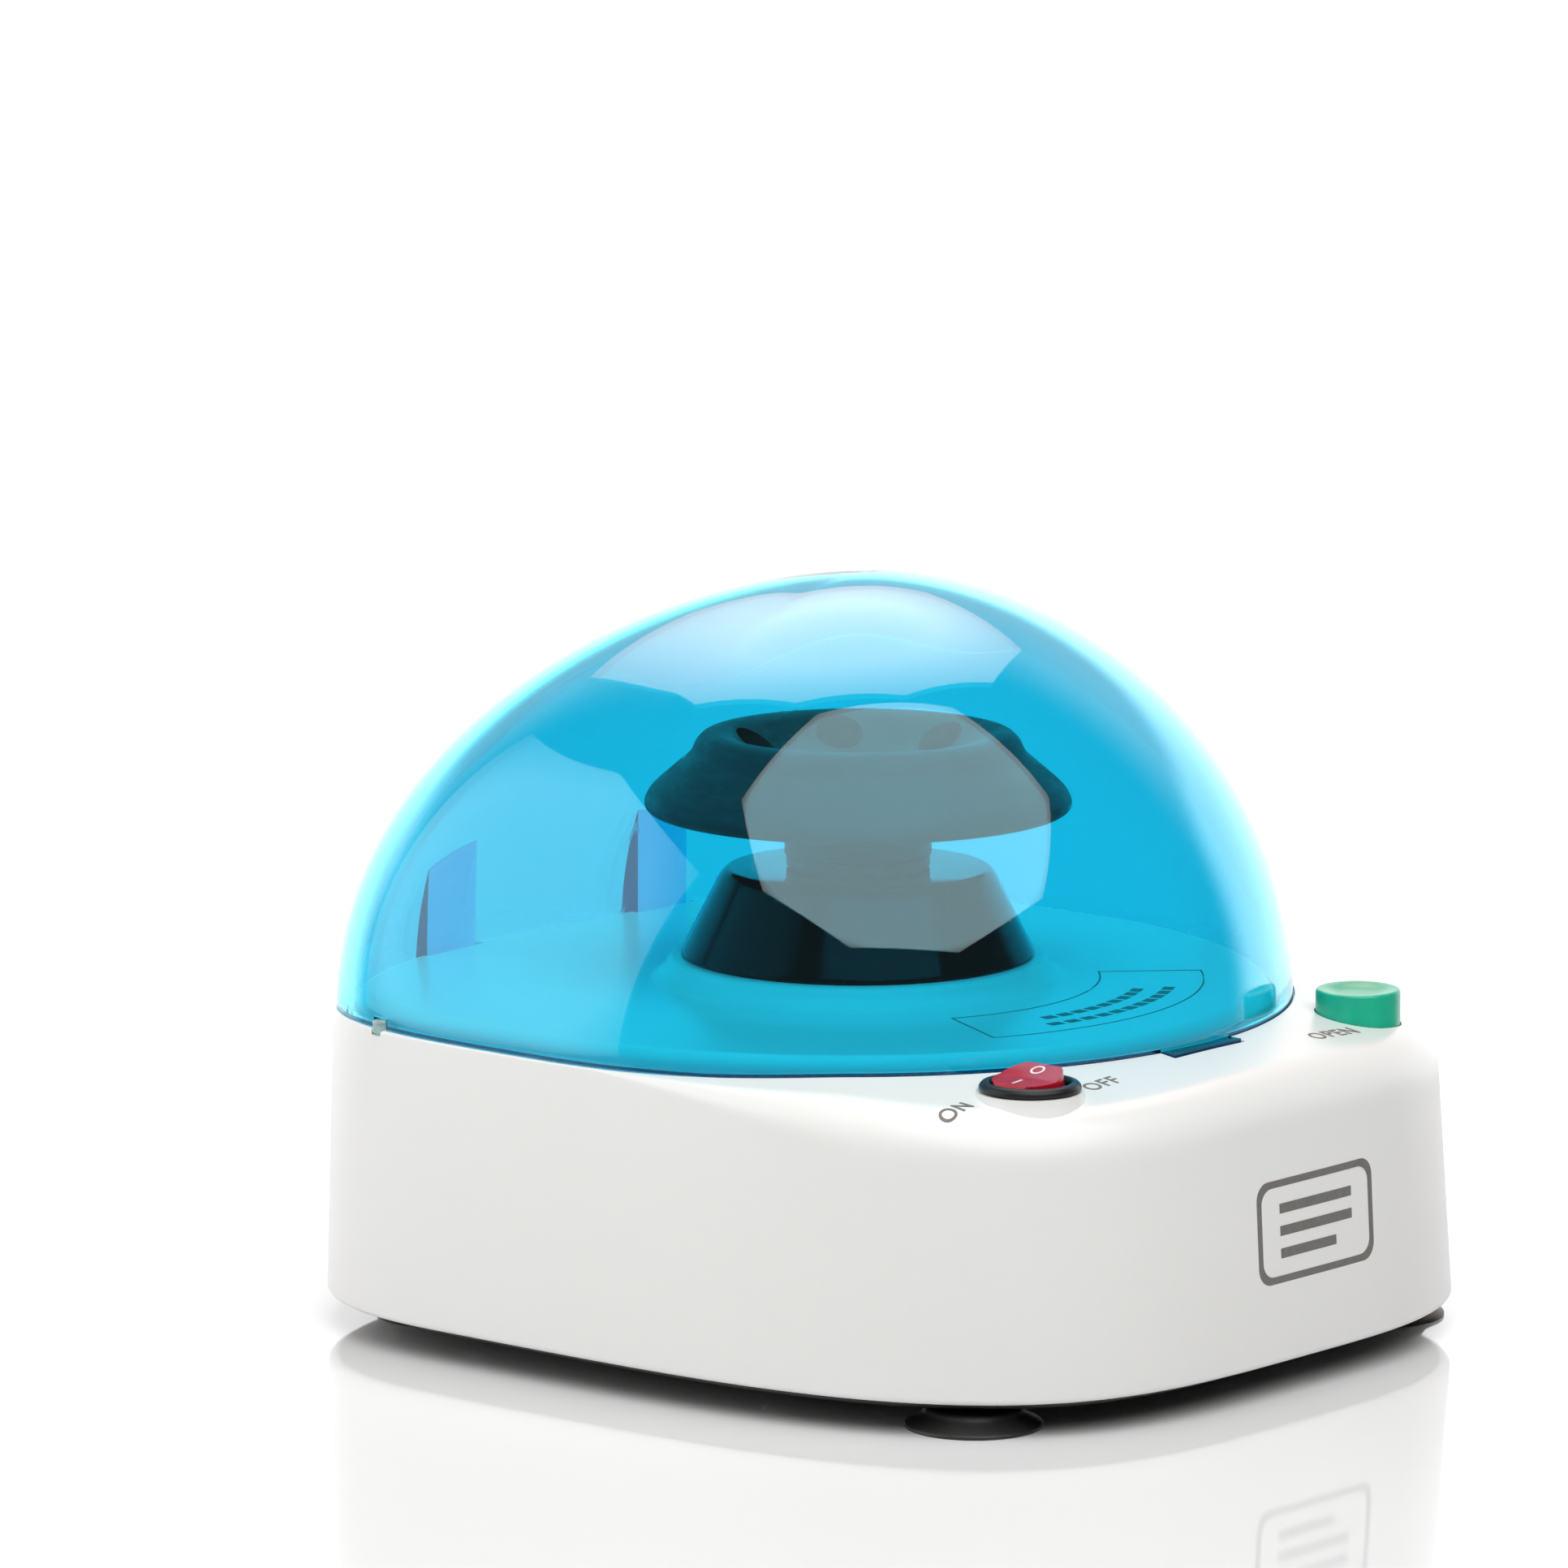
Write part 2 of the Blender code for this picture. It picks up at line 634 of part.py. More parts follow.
# ---------------------------------------------------------------- hinge
def make_hinge(mats):
    """Steel brackets, pins and lifting springs, one set for each arm of the lid."""
    axis_y = ROTOR_Y + HINGE_Y
    cheek = 0.0012
    web_y = axis_y - 0.0078
    for side, word in ((-1, "left"), (1, "right")):
        inner_gap = ARM_INNER_X - 0.0004
        outer_gap = ARM_OUTER_X + 0.0004
        xs = sorted((side * (inner_gap - cheek), side * (outer_gap + cheek)))
        ear_z = HINGE_Z + 0.0045
        outline = [(web_y, HINGE_Z - 0.0065), (axis_y + 0.0040, HINGE_Z - 0.0065),
                   (axis_y + 0.0040, ear_z - 0.002), (axis_y + 0.0020, ear_z),
                   (axis_y - 0.0030, ear_z), (axis_y - 0.0030, DECK_Z - WALL - GAP),
                   (web_y, DECK_Z - WALL - GAP)]
        bracket = extruded(f"hinge_bracket_{word}", outline, xs[0], xs[1], mats["steel"])
        room = sorted((side * inner_gap, side * outer_gap))
        space = block("space", (room[0], web_y + cheek, 0.04), (room[1], axis_y + 0.02, 0.09),
                      mats["steel"])
        hole = rod("hole", (side * 0.020, axis_y, HINGE_Z), (side * 0.055, axis_y, HINGE_Z),
                   PIN_RADIUS + GAP, mats["steel"], 16)
        combine(bracket, "DIFFERENCE", [space, hole])
        rod(f"hinge_pin_{word}", (side * 0.0165, axis_y, HINGE_Z),
            (side * (outer_gap + cheek + 0.0012), axis_y, HINGE_Z), PIN_RADIUS,
            mats["steel"], 16)
        make_torsion_spring(f"hinge_spring_{word}", side, axis_y, mats)


def make_torsion_spring(name, side, axis_y, mats):
    """A coil round the inner end of the pin, with two short legs."""
    coil_radius = 0.0030
    turns, per_turn = 4, 8
    start_x, pitch = 0.0178, 0.00135
    points = [(side * start_x, axis_y - 0.0075, HINGE_Z - coil_radius)]
    for i in range(turns * per_turn + 1):
        angle = -math.pi / 2 + math.tau * i / per_turn
        x = side * (start_x + pitch * i / per_turn)
        points.append((x, axis_y + coil_radius * math.cos(angle),
                       HINGE_Z + coil_radius * math.sin(angle)))
    points.append((side * (start_x + pitch * turns), axis_y + 0.0035,
                   HINGE_Z - coil_radius))
    wire(name, points, 0.0005, mats["steel"])


# ---------------------------------------------------------------- drive and rotor
def make_motor_cover(mats):
    """The glossy truncated cone over the motor."""
    profile = [(0.0404, BOSS_Z + GAP), (0.0402, BOSS_Z + 0.0012),
               (0.0314, COVER_TOP_Z - 0.0014), (0.0308, COVER_TOP_Z - 0.0004),
               (0.0296, COVER_TOP_Z), (0.0045, COVER_TOP_Z),
               (0.0045, COVER_TOP_Z - 0.002), (0.0285, COVER_TOP_Z - 0.002),
               (0.0375, BOSS_Z + GAP)]
    return turned("motor_cover", profile, mats["gloss_black"], (0.0, ROTOR_Y), steps=40)


def make_motor(mats):
    """A brushless motor that hangs from a plate on three rubber mounts."""
    axis = (0.0, ROTOR_Y)
    top = MOTOR_PLATE_Z - GAP
    turned("motor_can", [(0.0, MOTOR_BOTTOM_Z + 0.006), (MOTOR_RADIUS, MOTOR_BOTTOM_Z + 0.006),
                         (MOTOR_RADIUS, top - 0.0008), (MOTOR_RADIUS - 0.0008, top),
                         (0.0065, top), (0.0065, MOTOR_PLATE_Z + 0.0050),
                         (SHAFT_RADIUS + GAP, MOTOR_PLATE_Z + 0.0050),
                         (SHAFT_RADIUS + GAP, 0.0400), (0.0, 0.0400)],
           mats["steel"], axis, steps=28)
    turned("motor_end_cap", [(0.0, MOTOR_BOTTOM_Z), (0.0080, MOTOR_BOTTOM_Z),
                             (0.0080, MOTOR_BOTTOM_Z + 0.0020),
                             (0.0168, MOTOR_BOTTOM_Z + 0.0026),
                             (0.0168, MOTOR_BOTTOM_Z + 0.006 - GAP),
                             (0.0, MOTOR_BOTTOM_Z + 0.006 - GAP)],
           mats["matte_black"], axis, steps=32)
    plate = turned("motor_plate", [(0.0068, MOTOR_PLATE_Z), (0.0385, MOTOR_PLATE_Z),
                                   (0.0385, MOTOR_PLATE_Z + 0.0015),
                                   (0.0068, MOTOR_PLATE_Z + 0.0015)],
                   mats["steel"], axis, steps=28)
    holes = []
    for number, spot in enumerate(mount_places(), start=1):
        low, high = MOTOR_PLATE_Z + 0.0015 + GAP, BOSS_Z - WALL - GAP
        turned(f"vibration_mount_{number}",
               [(0.0, MOTOR_PLATE_Z - 0.0014), (0.0042, MOTOR_PLATE_Z - 0.0014),
                (0.0042, MOTOR_PLATE_Z - GAP), (0.0022, MOTOR_PLATE_Z - GAP),
                (0.0022, low), (0.0046, low), (0.0038, (low + high) / 2),
                (0.0046, high), (0.0, high)], mats["rubber"], spot, steps=20)
        holes.append(rod("hole", (*spot, 0.07), (*spot, 0.08), 0.0025, mats["steel"], 16))
    for number, side in enumerate((-1, 1), start=1):
        spot = (side * 0.0115, ROTOR_Y)
        base = MOTOR_PLATE_Z + 0.0015 + GAP
        turned(f"motor_screw_{number}",
               [(0.0, MOTOR_PLATE_Z - GAP + 0.0001), (0.0013, MOTOR_PLATE_Z - GAP + 0.0001),
                (0.0013, base), (0.0026, base), (0.0026, base + 0.0010),
                (0.0018, base + 0.0017), (0.0, base + 0.0017)],
               mats["steel"], spot, steps=16)
        holes.append(rod("hole", (*spot, 0.07), (*spot, 0.08), 0.0016, mats["steel"], 16))
    combine(plate, "DIFFERENCE", holes)


def mount_places():
    """Three spots round the motor, a third of a turn apart."""
    places = []
    for i in range(3):
        angle = math.radians(90 + 120 * i)
        places.append((0.0315 * math.cos(angle), ROTOR_Y + 0.0315 * math.sin(angle)))
    return places


def make_rotor_group(mats):
    """What spins: shaft, drive collar, hub, rotor and nut."""
    axis = (0.0, ROTOR_Y)
    bore = SHAFT_RADIUS + GAP
    shaft = turned("motor_shaft", [(0.0, 0.0404), (SHAFT_RADIUS, 0.0404),
                                   (SHAFT_RADIUS, 0.1254), (0.0020, 0.1258), (0.0, 0.1258)],
                   mats["steel"], axis, steps=20)
    collar_z = COVER_TOP_Z + 0.0004
    collar = turned("drive_collar", [(bore, collar_z), (HUB_RADIUS - 0.0004, collar_z),
                                     (HUB_RADIUS - 0.0004, collar_z + 0.0024),
                                     (bore, collar_z + 0.0024)],
                    mats["matte_black"], axis, steps=28)
    hub_z = collar_z + 0.0027
    hub = turned("rotor_hub", [(bore, hub_z), (HUB_RADIUS - 0.0003, hub_z),
                               (HUB_RADIUS, hub_z + 0.0004), (HUB_RADIUS, ROTOR_Z - GAP),
                               (bore, ROTOR_Z - GAP)], mats["matte_black"], axis, steps=28)
    nut = turned("rotor_nut", [(0.0, 0.1262), (bore, 0.1262), (bore, 0.1244),
                               (0.0070, 0.1244), (0.0070, 0.1272), (0.0062, 0.1280),
                               (0.0, 0.1280)], mats["matte_black"], axis, steps=24)
    rotor = make_rotor(mats)
    for piece in (shaft, collar, hub, nut, rotor):
        move_origin(piece, (0.0, ROTOR_Y, ROTOR_Z))


def make_rotor(mats):
    """A fixed-angle rotor: bowl, rolled crest, conical skirt and sloping tube holes."""
    bore = SHAFT_RADIUS + GAP
    profile = [(bore, 0.1241), (0.0110, 0.1243), (0.0165, 0.1254), (0.0225, 0.1280),
               (0.0270, 0.1315), (0.0297, 0.1336), (0.0325, 0.1343), (0.0350, 0.1338),
               (0.0370, 0.1318), (0.0379, 0.1292), (0.0413, 0.1263), (0.0453, 0.1229),
               (0.0476, 0.1206), (0.0486, 0.1184), (0.0484, 0.1169), (0.0472, 0.1160),
               (0.0446, 0.1160), (0.0418, 0.1192), (0.0205, 0.1196), (0.0180, ROTOR_Z),
               (bore, ROTOR_Z)]
    rotor = turned("rotor", profile, mats["matte_black"], (0.0, ROTOR_Y), steps=40)
    holes = []
    reach = 0.030
    for i in range(TUBE_COUNT):
        angle = FIRST_TUBE + math.tau * i / TUBE_COUNT
        out = Vector((math.cos(angle), math.sin(angle), -1.0)).normalized()
        mouth = Vector((TUBE_MOUTH_RADIUS * math.cos(angle),
                        ROTOR_Y + TUBE_MOUTH_RADIUS * math.sin(angle), TUBE_MOUTH_Z))
        holes.append(rod("tube_hole", mouth - out * 0.010, mouth + out * reach,
                         TUBE_RADIUS, mats["matte_black"], 16))
    return combine(rotor, "DIFFERENCE", holes)


# ---------------------------------------------------------------- controls
def make_switch(mats):
    """A round rocker switch: bezel and body in one piece, and the rocker."""
    x, y = control_place(-1)
    seat = PAD_Z + GAP
    body = turned("power_switch_body", [(0.0, 0.0520), (0.0098, 0.0520), (0.0098, seat),
                                        (BEZEL_RADIUS, seat), (BEZEL_RADIUS, seat + 0.0010),
                                        (BEZEL_RADIUS - 0.0006, seat + 0.0018),
                                        (0.0092, seat + 0.0020), (0.0088, seat + 0.0014),
                                        (0.0088, 0.0620), (0.0, 0.0620)],
                  mats["bezel"], (x, y), steps=32)
    for step in (-1, 1):
        tab = block("tab", (x + step * 0.0045 - 0.0004, y - 0.0024, 0.0445),
                    (x + step * 0.0045 + 0.0004, y + 0.0024, 0.0530), mats["bezel"])
        combine(body, "UNION", [tab])

    tip = math.radians(38)
    outline = [(0.0, 0.0040)]
    outline.append((ROCKER_REACH * math.cos(tip), ROCKER_REACH * math.sin(tip)))
    for turn in range(26, -35, -12):
        angle = math.radians(turn)
        outline.append((ROCKER_REACH * math.cos(angle), ROCKER_REACH * math.sin(angle)))
    outline += [(-a, b) for a, b in reversed(outline[1:])]
    rocker = extruded("power_rocker", outline, -0.0078, 0.0078, mats["red"], axis="Y")
    trim = rod("trim", (0, 0, -0.02), (0, 0, 0.02), 0.0081, mats["red"], 32)
    combine(rocker, "INTERSECT", [trim])
    rocker.data.transform(Matrix.Rotation(-ROCKER_TILT, 4, "Y"))
    rocker.location = (x, y, ROCKER_PIVOT_Z)


def make_open_button(mats):
    """The lid release: a dished cap on a stem, its guide and its return spring."""
    x, y = control_place(1)
    skirt_z = 0.0628
    wedge_z = 0.0440
    stem, wedge = 0.0030, 0.0060
    button = turned("open_button", [
        (0.0, wedge_z), (stem, wedge_z), (wedge, wedge_z + 0.0030),
        (wedge, wedge_z + 0.0040), (stem, wedge_z + 0.0050), (stem, skirt_z - 0.0016),
        (0.0106, skirt_z - 0.0016), (0.0106, skirt_z), (BUTTON_RADIUS, skirt_z),
        (BUTTON_RADIUS, BUTTON_TOP_Z - 0.0012), (BUTTON_RADIUS - 0.0004, BUTTON_TOP_Z - 0.0003),
        (BUTTON_RADIUS - 0.0012, BUTTON_TOP_Z), (BUTTON_RADIUS - 0.0024, BUTTON_TOP_Z - 0.0004),
        (0.0040, BUTTON_TOP_Z - 0.0009), (0.0, BUTTON_TOP_Z - 0.0010)],
        mats["green"], (x, y), steps=32)
    move_origin(button, (x, y, BUTTON_TOP_Z))
    guide_low = 0.0505
    turned("button_guide", [(stem + 0.0004, guide_low), (0.0120, guide_low),
                            (0.0120, skirt_z), (0.0110, skirt_z),
                            (0.0110, guide_low + 0.0015), (stem + 0.0004, guide_low + 0.0015)],
           mats["nylon"], (x, y), steps=24)
    spring_low = guide_low + 0.0015 + 0.0009
    spring_high = skirt_z - 0.0016 - 0.0009
    turns, per_turn, radius = 4, 10, 0.0062
    points = []
    for i in range(turns * per_turn + 1):
        angle = math.tau * i / per_turn
        height = spring_low + (spring_high - spring_low) * i / (turns * per_turn)
        points.append((x + radius * math.cos(angle), y + radius * math.sin(angle), height))
    wire("button_spring", points, 0.0005, mats["steel"])


def make_latch(mats):
    """The sliding bar that holds the lid's hook, pushed forward by the button's wedge."""
    lip_y = ROTOR_Y - LID_PLAN["front"]
    button_x, button_y = control_place(1)
    face_y = button_y - 0.0030 - 0.0004
    top = LATCH_BAR_Z + 0.0030
    outline = [(face_y - 0.0048, LATCH_BAR_Z), (face_y, LATCH_BAR_Z),
               (face_y, LATCH_BAR_Z + 0.0005), (face_y - 0.0025, top),
               (face_y - 0.0048, top)]
    slider = extruded("latch_slider", outline, -0.0060, button_x + 0.0040, mats["nylon"])
    low_y = face_y - 0.0048
    post = block("post", (-0.0050, low_y, LATCH_BAR_Z + 0.0005), (0.0050, low_y + 0.0024, 0.0655),
                 mats["nylon"])
    nose = block("nose", (-0.0042, low_y + 0.0010, 0.0628), (0.0042, lip_y - 0.0008, 0.0650),
                 mats["nylon"])
    combine(slider, "UNION", [post, nose])
    move_origin(slider, (0.0, low_y, LATCH_BAR_Z))
    for number, x in enumerate((0.014, 0.040), start=1):
        rail = block(f"latch_guide_{number}", (x, low_y - 0.0060, LATCH_BAR_Z - 0.0020),
                     (x + 0.006, low_y + 0.0070, LATCH_BAR_Z + 0.0052), mats["nylon"])
        slot = block("slot", (x - 0.01, low_y - 0.0040, LATCH_BAR_Z - GAP),
                     (x + 0.02, low_y + 0.0054, top + GAP), mats["nylon"])
        combine(rail, "DIFFERENCE", [slot])
    block("lid_interlock_switch", (-0.010, lip_y + 0.0060, 0.0540),
          (0.010, lip_y + 0.0124, 0.0640), mats["matte_black"])


# ---------------------------------------------------------------- electrics
def make_electrics(mats):
    """Control board with its parts, and the low-voltage inlet at the back."""
    board_z = 0.0110 + GAP
    board = block("control_board", (-0.028, ROTOR_Y + 0.044, board_z),
                  (0.028, ROTOR_Y + 0.082, board_z + 0.0016), mats["board"])
    chips = [
        block("relay", (-0.024, ROTOR_Y + 0.052, board_z + 0.0010),
              (-0.009, ROTOR_Y + 0.064, board_z + 0.0120), mats["board"]),
        block("driver", (-0.004, ROTOR_Y + 0.050, board_z + 0.0010),
              (0.006, ROTOR_Y + 0.060, board_z + 0.0032), mats["board"]),
        block("heat_sink", (-0.004, ROTOR_Y + 0.068, board_z + 0.0010),
              (0.012, ROTOR_Y + 0.074, board_z + 0.0150), mats["board"]),
    ]
    combine(board, "UNION", chips)
    top = board_z + 0.0016 + GAP
    turned("board_capacitor", [(0.0, top), (0.0040, top), (0.0040, top + 0.0115),
                               (0.0034, top + 0.0120), (0.0, top + 0.0120)],
           mats["capacitor"], (0.0185, ROTOR_Y + 0.056), steps=24)

    inlet_z = 0.030
    outer_y = ROTOR_Y + BODY_REAR + INLET_PROUD
    flange_y = outer_y - 0.0009
    inlet = turned("dc_inlet", [
        (0.0, -0.0140), (0.0050, -0.0140), (0.0050, -0.0008), (0.0072, -0.0008),
        (0.0072, -0.0003), (0.0068, 0.0), (0.0028, 0.0), (0.0028, -0.0090),
        (0.0010, -0.0090), (0.0010, -0.0016), (0.0, -0.0012)],
        mats["bezel"], steps=32)
    nut = turned("inlet_nut", [(0.0062, 0.0), (0.0088, 0.0), (0.0088, 0.0022),
                               (0.0062, 0.0022)], mats["brass"], steps=6)
    face_back = Matrix.Rotation(-math.pi / 2, 4, "X")
    inlet.data.transform(face_back)
    inlet.location = (0.0, outer_y, inlet_z)
    nut.data.transform(face_back)
    nut.location = (0.0, flange_y - 0.0060, inlet_z)


def main():
    for obj in list(bpy.data.objects):
        bpy.data.objects.remove(obj, do_unlink=True)
    mats = make_materials()
    make_upper_housing(mats)
    make_base_pan(mats)
    make_feet(mats)
    make_base_screws(mats)
    make_lid(mats)
    make_bumpers(mats)
    make_hinge(mats)
    make_motor_cover(mats)
    make_motor(mats)
    make_rotor_group(mats)
    make_switch(mats)
    make_open_button(mats)
    make_latch(mats)
    make_electrics(mats)


main()
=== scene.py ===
"""Looks of a bench-top mini centrifuge with a tinted dome lid, built round its CAD frame.

Units are metres and +Z is up.  Places come from the frame's nodes; the outlines of the
housing and of the lid repeat the formulas that the solids were made with, in finer steps.
"""
import json
import math

import bmesh
import bpy
from mathutils import Matrix, Vector


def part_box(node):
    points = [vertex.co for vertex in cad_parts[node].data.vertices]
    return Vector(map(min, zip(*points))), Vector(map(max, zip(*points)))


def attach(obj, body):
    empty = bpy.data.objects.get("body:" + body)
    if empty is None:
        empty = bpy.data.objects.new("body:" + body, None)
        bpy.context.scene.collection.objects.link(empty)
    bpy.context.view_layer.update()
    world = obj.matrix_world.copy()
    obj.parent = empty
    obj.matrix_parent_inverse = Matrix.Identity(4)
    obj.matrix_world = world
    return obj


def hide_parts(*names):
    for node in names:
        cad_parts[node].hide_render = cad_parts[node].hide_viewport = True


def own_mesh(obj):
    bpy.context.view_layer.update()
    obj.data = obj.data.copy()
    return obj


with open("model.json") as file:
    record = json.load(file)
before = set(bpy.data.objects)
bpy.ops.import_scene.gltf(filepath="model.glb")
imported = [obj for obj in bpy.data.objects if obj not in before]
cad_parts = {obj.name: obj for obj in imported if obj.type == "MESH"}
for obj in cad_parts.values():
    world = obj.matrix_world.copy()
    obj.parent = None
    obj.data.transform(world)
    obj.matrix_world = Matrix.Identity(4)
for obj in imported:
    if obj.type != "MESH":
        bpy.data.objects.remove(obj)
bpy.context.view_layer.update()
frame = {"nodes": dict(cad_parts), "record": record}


def middle(node):
    low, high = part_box(node)
    return (low + high) / 2


# ---- dimensions
PLAN_STEPS = 288                # points round the housing and the lid
TURN_STEPS = 144                # points round a turned piece

HOUSING_LOW, HOUSING_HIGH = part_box("upper_housing")
ROTOR_Y = middle("motor_can").y
HOUSING_BOTTOM = HOUSING_LOW.z
PAN_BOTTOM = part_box("base_pan")[0].z
APEX_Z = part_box("lid_dome")[1].z
BOSS_Z = HOUSING_HIGH.z         # ring that carries the motor cover
DECK_Z = BOSS_Z - 0.0052        # floor of the chamber
SEAT_Z = DECK_Z - 0.0051        # ledge that the lid closes on
RIM_Z = SEAT_Z + 0.0005
COVER_TOP_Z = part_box("motor_cover")[1].z
ROTOR_Z = 0.1166                # underside of the rotor's centre

BODY_PLAN = {"half_width": 0.1055, "front": 0.129, "rear": 0.104, "middle": 0.030,
             "front_power": 3.5, "rear_power": 2.85}
LID_PLAN = {"half_width": 0.1025, "front": 0.0985, "rear": 0.1005, "middle": 0.005,
            "front_power": 2.0, "rear_power": 3.6}
DRAFT = 0.0445
WALL = 0.0025
LID_WALL = 0.0030
DOME_POWER = 0.54
CORNER_RADIUS = 0.012
FOOT_RADIUS = 0.0016            # rounding of the housing's lowest edge
DECK_STEP = 0.0015
SIDE_STEP = 0.0002
DECK_STEP_RUN = 0.010
DECK_SLOPE = 0.15
DECK_RADIUS = 0.0035
LEDGE_WIDTH = 0.0042
REAR_DIP = 0.004
REAR_DIP_START = 0.082
REAR_DIP_LENGTH = 0.012
APEX_Y = ROTOR_Y - 0.0024

HINGE_Y = middle("hinge_pin_left").y
HINGE_Z = middle("hinge_pin_left").z
ARM_INNER_X = 0.028
ARM_OUTER_X = 0.0455
KNUCKLE_RADIUS = 0.005
ARM_FRONT_Y = ROTOR_Y + 0.0918
LIP_Y = ROTOR_Y - LID_PLAN["front"]
TAB_HALF_WIDTH = 0.012
HOOK_HALF_WIDTH = 0.005
ARM_CLEAR = 0.0001
LID_GAP = 0.00004               # air between the dome and the pieces set into it
SPRING_TURNS = 4
SPRING_WIRE = 0.0005

SWITCH = middle("power_switch_body")
BUTTON = middle("open_button")
PAD_Z = 0.0728
PAD_RADIUS = 0.0117
SWITCH_BORE = 0.0102
BUTTON_BORE = 0.0099
PAN_TAPER = 0.0095
SHAFT_BORE = 0.0028
TUBE_COUNT = 6
FIRST_TUBE = math.radians(-9.6)


# ---- materials
LID_TINT = (0.05, 0.685, 0.875)   # share of red, green and blue that one wall lets through
LID_LIT = (0.25, 0.80, 0.93)      # the same share for lamps and diffuse light


class Nodes:
    """The shader nodes of a material or a world, with short calls for those used here."""

    def __init__(self, owner, output="OutputMaterial"):
        owner.use_nodes = True
        self.owner = owner
        self.tree = owner.node_tree
        self.tree.nodes.clear()
        self.output = self.add(output)
        self.spots = self.add("TexCoord").outputs

    def add(self, kind, inputs=None, **settings):
        """A new node, whose inputs are given by name or by place, as values or as links."""
        node = self.tree.nodes.new("ShaderNode" + kind)
        for key, value in settings.items():
            setattr(node, key, value)
        for key, value in (inputs or {}).items():
            if isinstance(value, bpy.types.NodeSocket):
                self.link(value, node.inputs[key])
            else:
                node.inputs[key].default_value = value
        return node

    def link(self, start, end):
        self.tree.links.new(start, end)

    def end(self, shader):
        self.link(shader, self.output.inputs["Surface"])

    def shader(self, color, roughness, **inputs):
        inputs = {key.replace("_", " "): value for key, value in inputs.items()}
        inputs.update({"Base Color": (*color, 1.0), "Roughness": roughness})
        node = self.add("BsdfPrincipled", inputs)
        self.end(node.outputs[0])
        return node

    def noise(self, scale, detail, roughness=0.5, stretch=None):
        spot = self.spots["Object"]
        if stretch:
            spot = self.add("Mapping", {"Vector": spot, "Scale": stretch}).outputs[0]
        return self.add("TexNoise", {"Vector": spot, "Scale": scale, "Detail": detail,
                                     "Roughness": roughness}).outputs[0]

    def ramp(self, value, stops):
        """Maps a value onto numbers or colours, given as (place, result) pairs."""
        node = self.add("ValToRGB", {0: value})
        while len(node.color_ramp.elements) < len(stops):
            node.color_ramp.elements.new(0.5)
        for element, (place, result) in zip(node.color_ramp.elements, stops):
            element.position = place
            color = result if isinstance(result, tuple) else (result,) * 3
            element.color = (*color, 1.0)
        return node.outputs[0]

    def bump(self, shader, height, strength, distance):
        node = self.add("Bump", {"Height": height, "Strength": strength, "Distance": distance})
        self.link(node.outputs[0], shader.inputs["Normal"])

    def calculate(self, operation, first, second):
        return self.add("Math", {0: first, 1: second}, operation=operation).outputs[0]

    def mix(self, share, first, second):
        return self.add("MixShader", {0: share, 1: first, 2: second}).outputs[0]

    def fade(self, value, start, end, low=0.0, high=1.0, kind="SMOOTHSTEP"):
        """Turns start to end into low to high, and holds it outside that range."""
        return self.add("MapRange", {0: value, 1: start, 2: end, 3: low, 4: high},
                        interpolation_type=kind).outputs[0]

    def distance(self):
        """How far a point is from its object's origin."""
        return self.add("VectorMath", {0: self.spots["Object"]},
                        operation="LENGTH").outputs["Value"]


def varied(name, color, roughness, mottle=None, wear=None, grain=None, **inputs):
    """A shader whose colour, roughness and height are varied by three noises.

    Mottle and wear hold a noise's settings and the ramp that reads it.  Grain holds a
    noise's settings and the strength and depth of the bumps it makes.
    """
    nodes = Nodes(bpy.data.materials.new(name))
    shader = nodes.shader(color, roughness, **inputs)
    for change, socket in ((mottle, "Base Color"), (wear, "Roughness")):
        if change:
            settings, *stops = change
            nodes.link(nodes.ramp(nodes.noise(*settings), stops), shader.inputs[socket])
    if grain:
        settings, strength, depth = grain
        nodes.bump(shader, nodes.noise(*settings), strength, depth)
    return nodes, shader


def surface(*details, **inputs):
    return varied(*details, **inputs)[0].owner


def tinted_lid(name="tinted_polycarbonate", tint=LID_TINT, lit=LID_LIT, bend=1.56):
    """Clear tinted plastic: the tint is what one wall, with its two faces, lets through.

    Lamps and diffuse light pass straight through it and take the paler, lit colour.
    """
    deep = tuple(share ** 0.95 for share in tint)
    nodes, shader = varied(name, tint, 0.0, ((14, 2), (0.3, tint), (0.7, deep)),
                           ((35, 5, 0.6), (0.50, 0.0), (0.80, 0.03)),
                           IOR=bend, Transmission_Weight=1.0)
    scuff = nodes.ramp(nodes.noise(260, 6, 0.7, (1, 1, 0.25)), [(0.62, 0.0), (0.72, 1.0)])
    nodes.bump(shader, scuff, 0.02, 0.0001)
    clear = nodes.add("BsdfTransparent", {0: (*[share ** 0.5 for share in lit], 1.0)})
    path = nodes.add("LightPath").outputs
    lighting = nodes.calculate("MAXIMUM", path["Is Shadow Ray"], path["Is Diffuse Ray"])
    nodes.end(nodes.mix(lighting, shader.outputs[0], clear.outputs[0]))
    return nodes.owner


def solder_mask():
    """Green lacquer over a grid of copper tracks."""
    nodes, shader = varied("solder_mask", (0.01, 0.16, 0.07), 0.35)
    tracks = nodes.add("TexBrick", {
        "Vector": nodes.spots["Object"], "Scale": 260, "Color1": (0.010, 0.15, 0.065, 1),
        "Color2": (0.014, 0.19, 0.085, 1), "Mortar": (0.03, 0.26, 0.12, 1)})
    nodes.link(tracks.outputs[0], shader.inputs["Base Color"])
    return nodes.owner


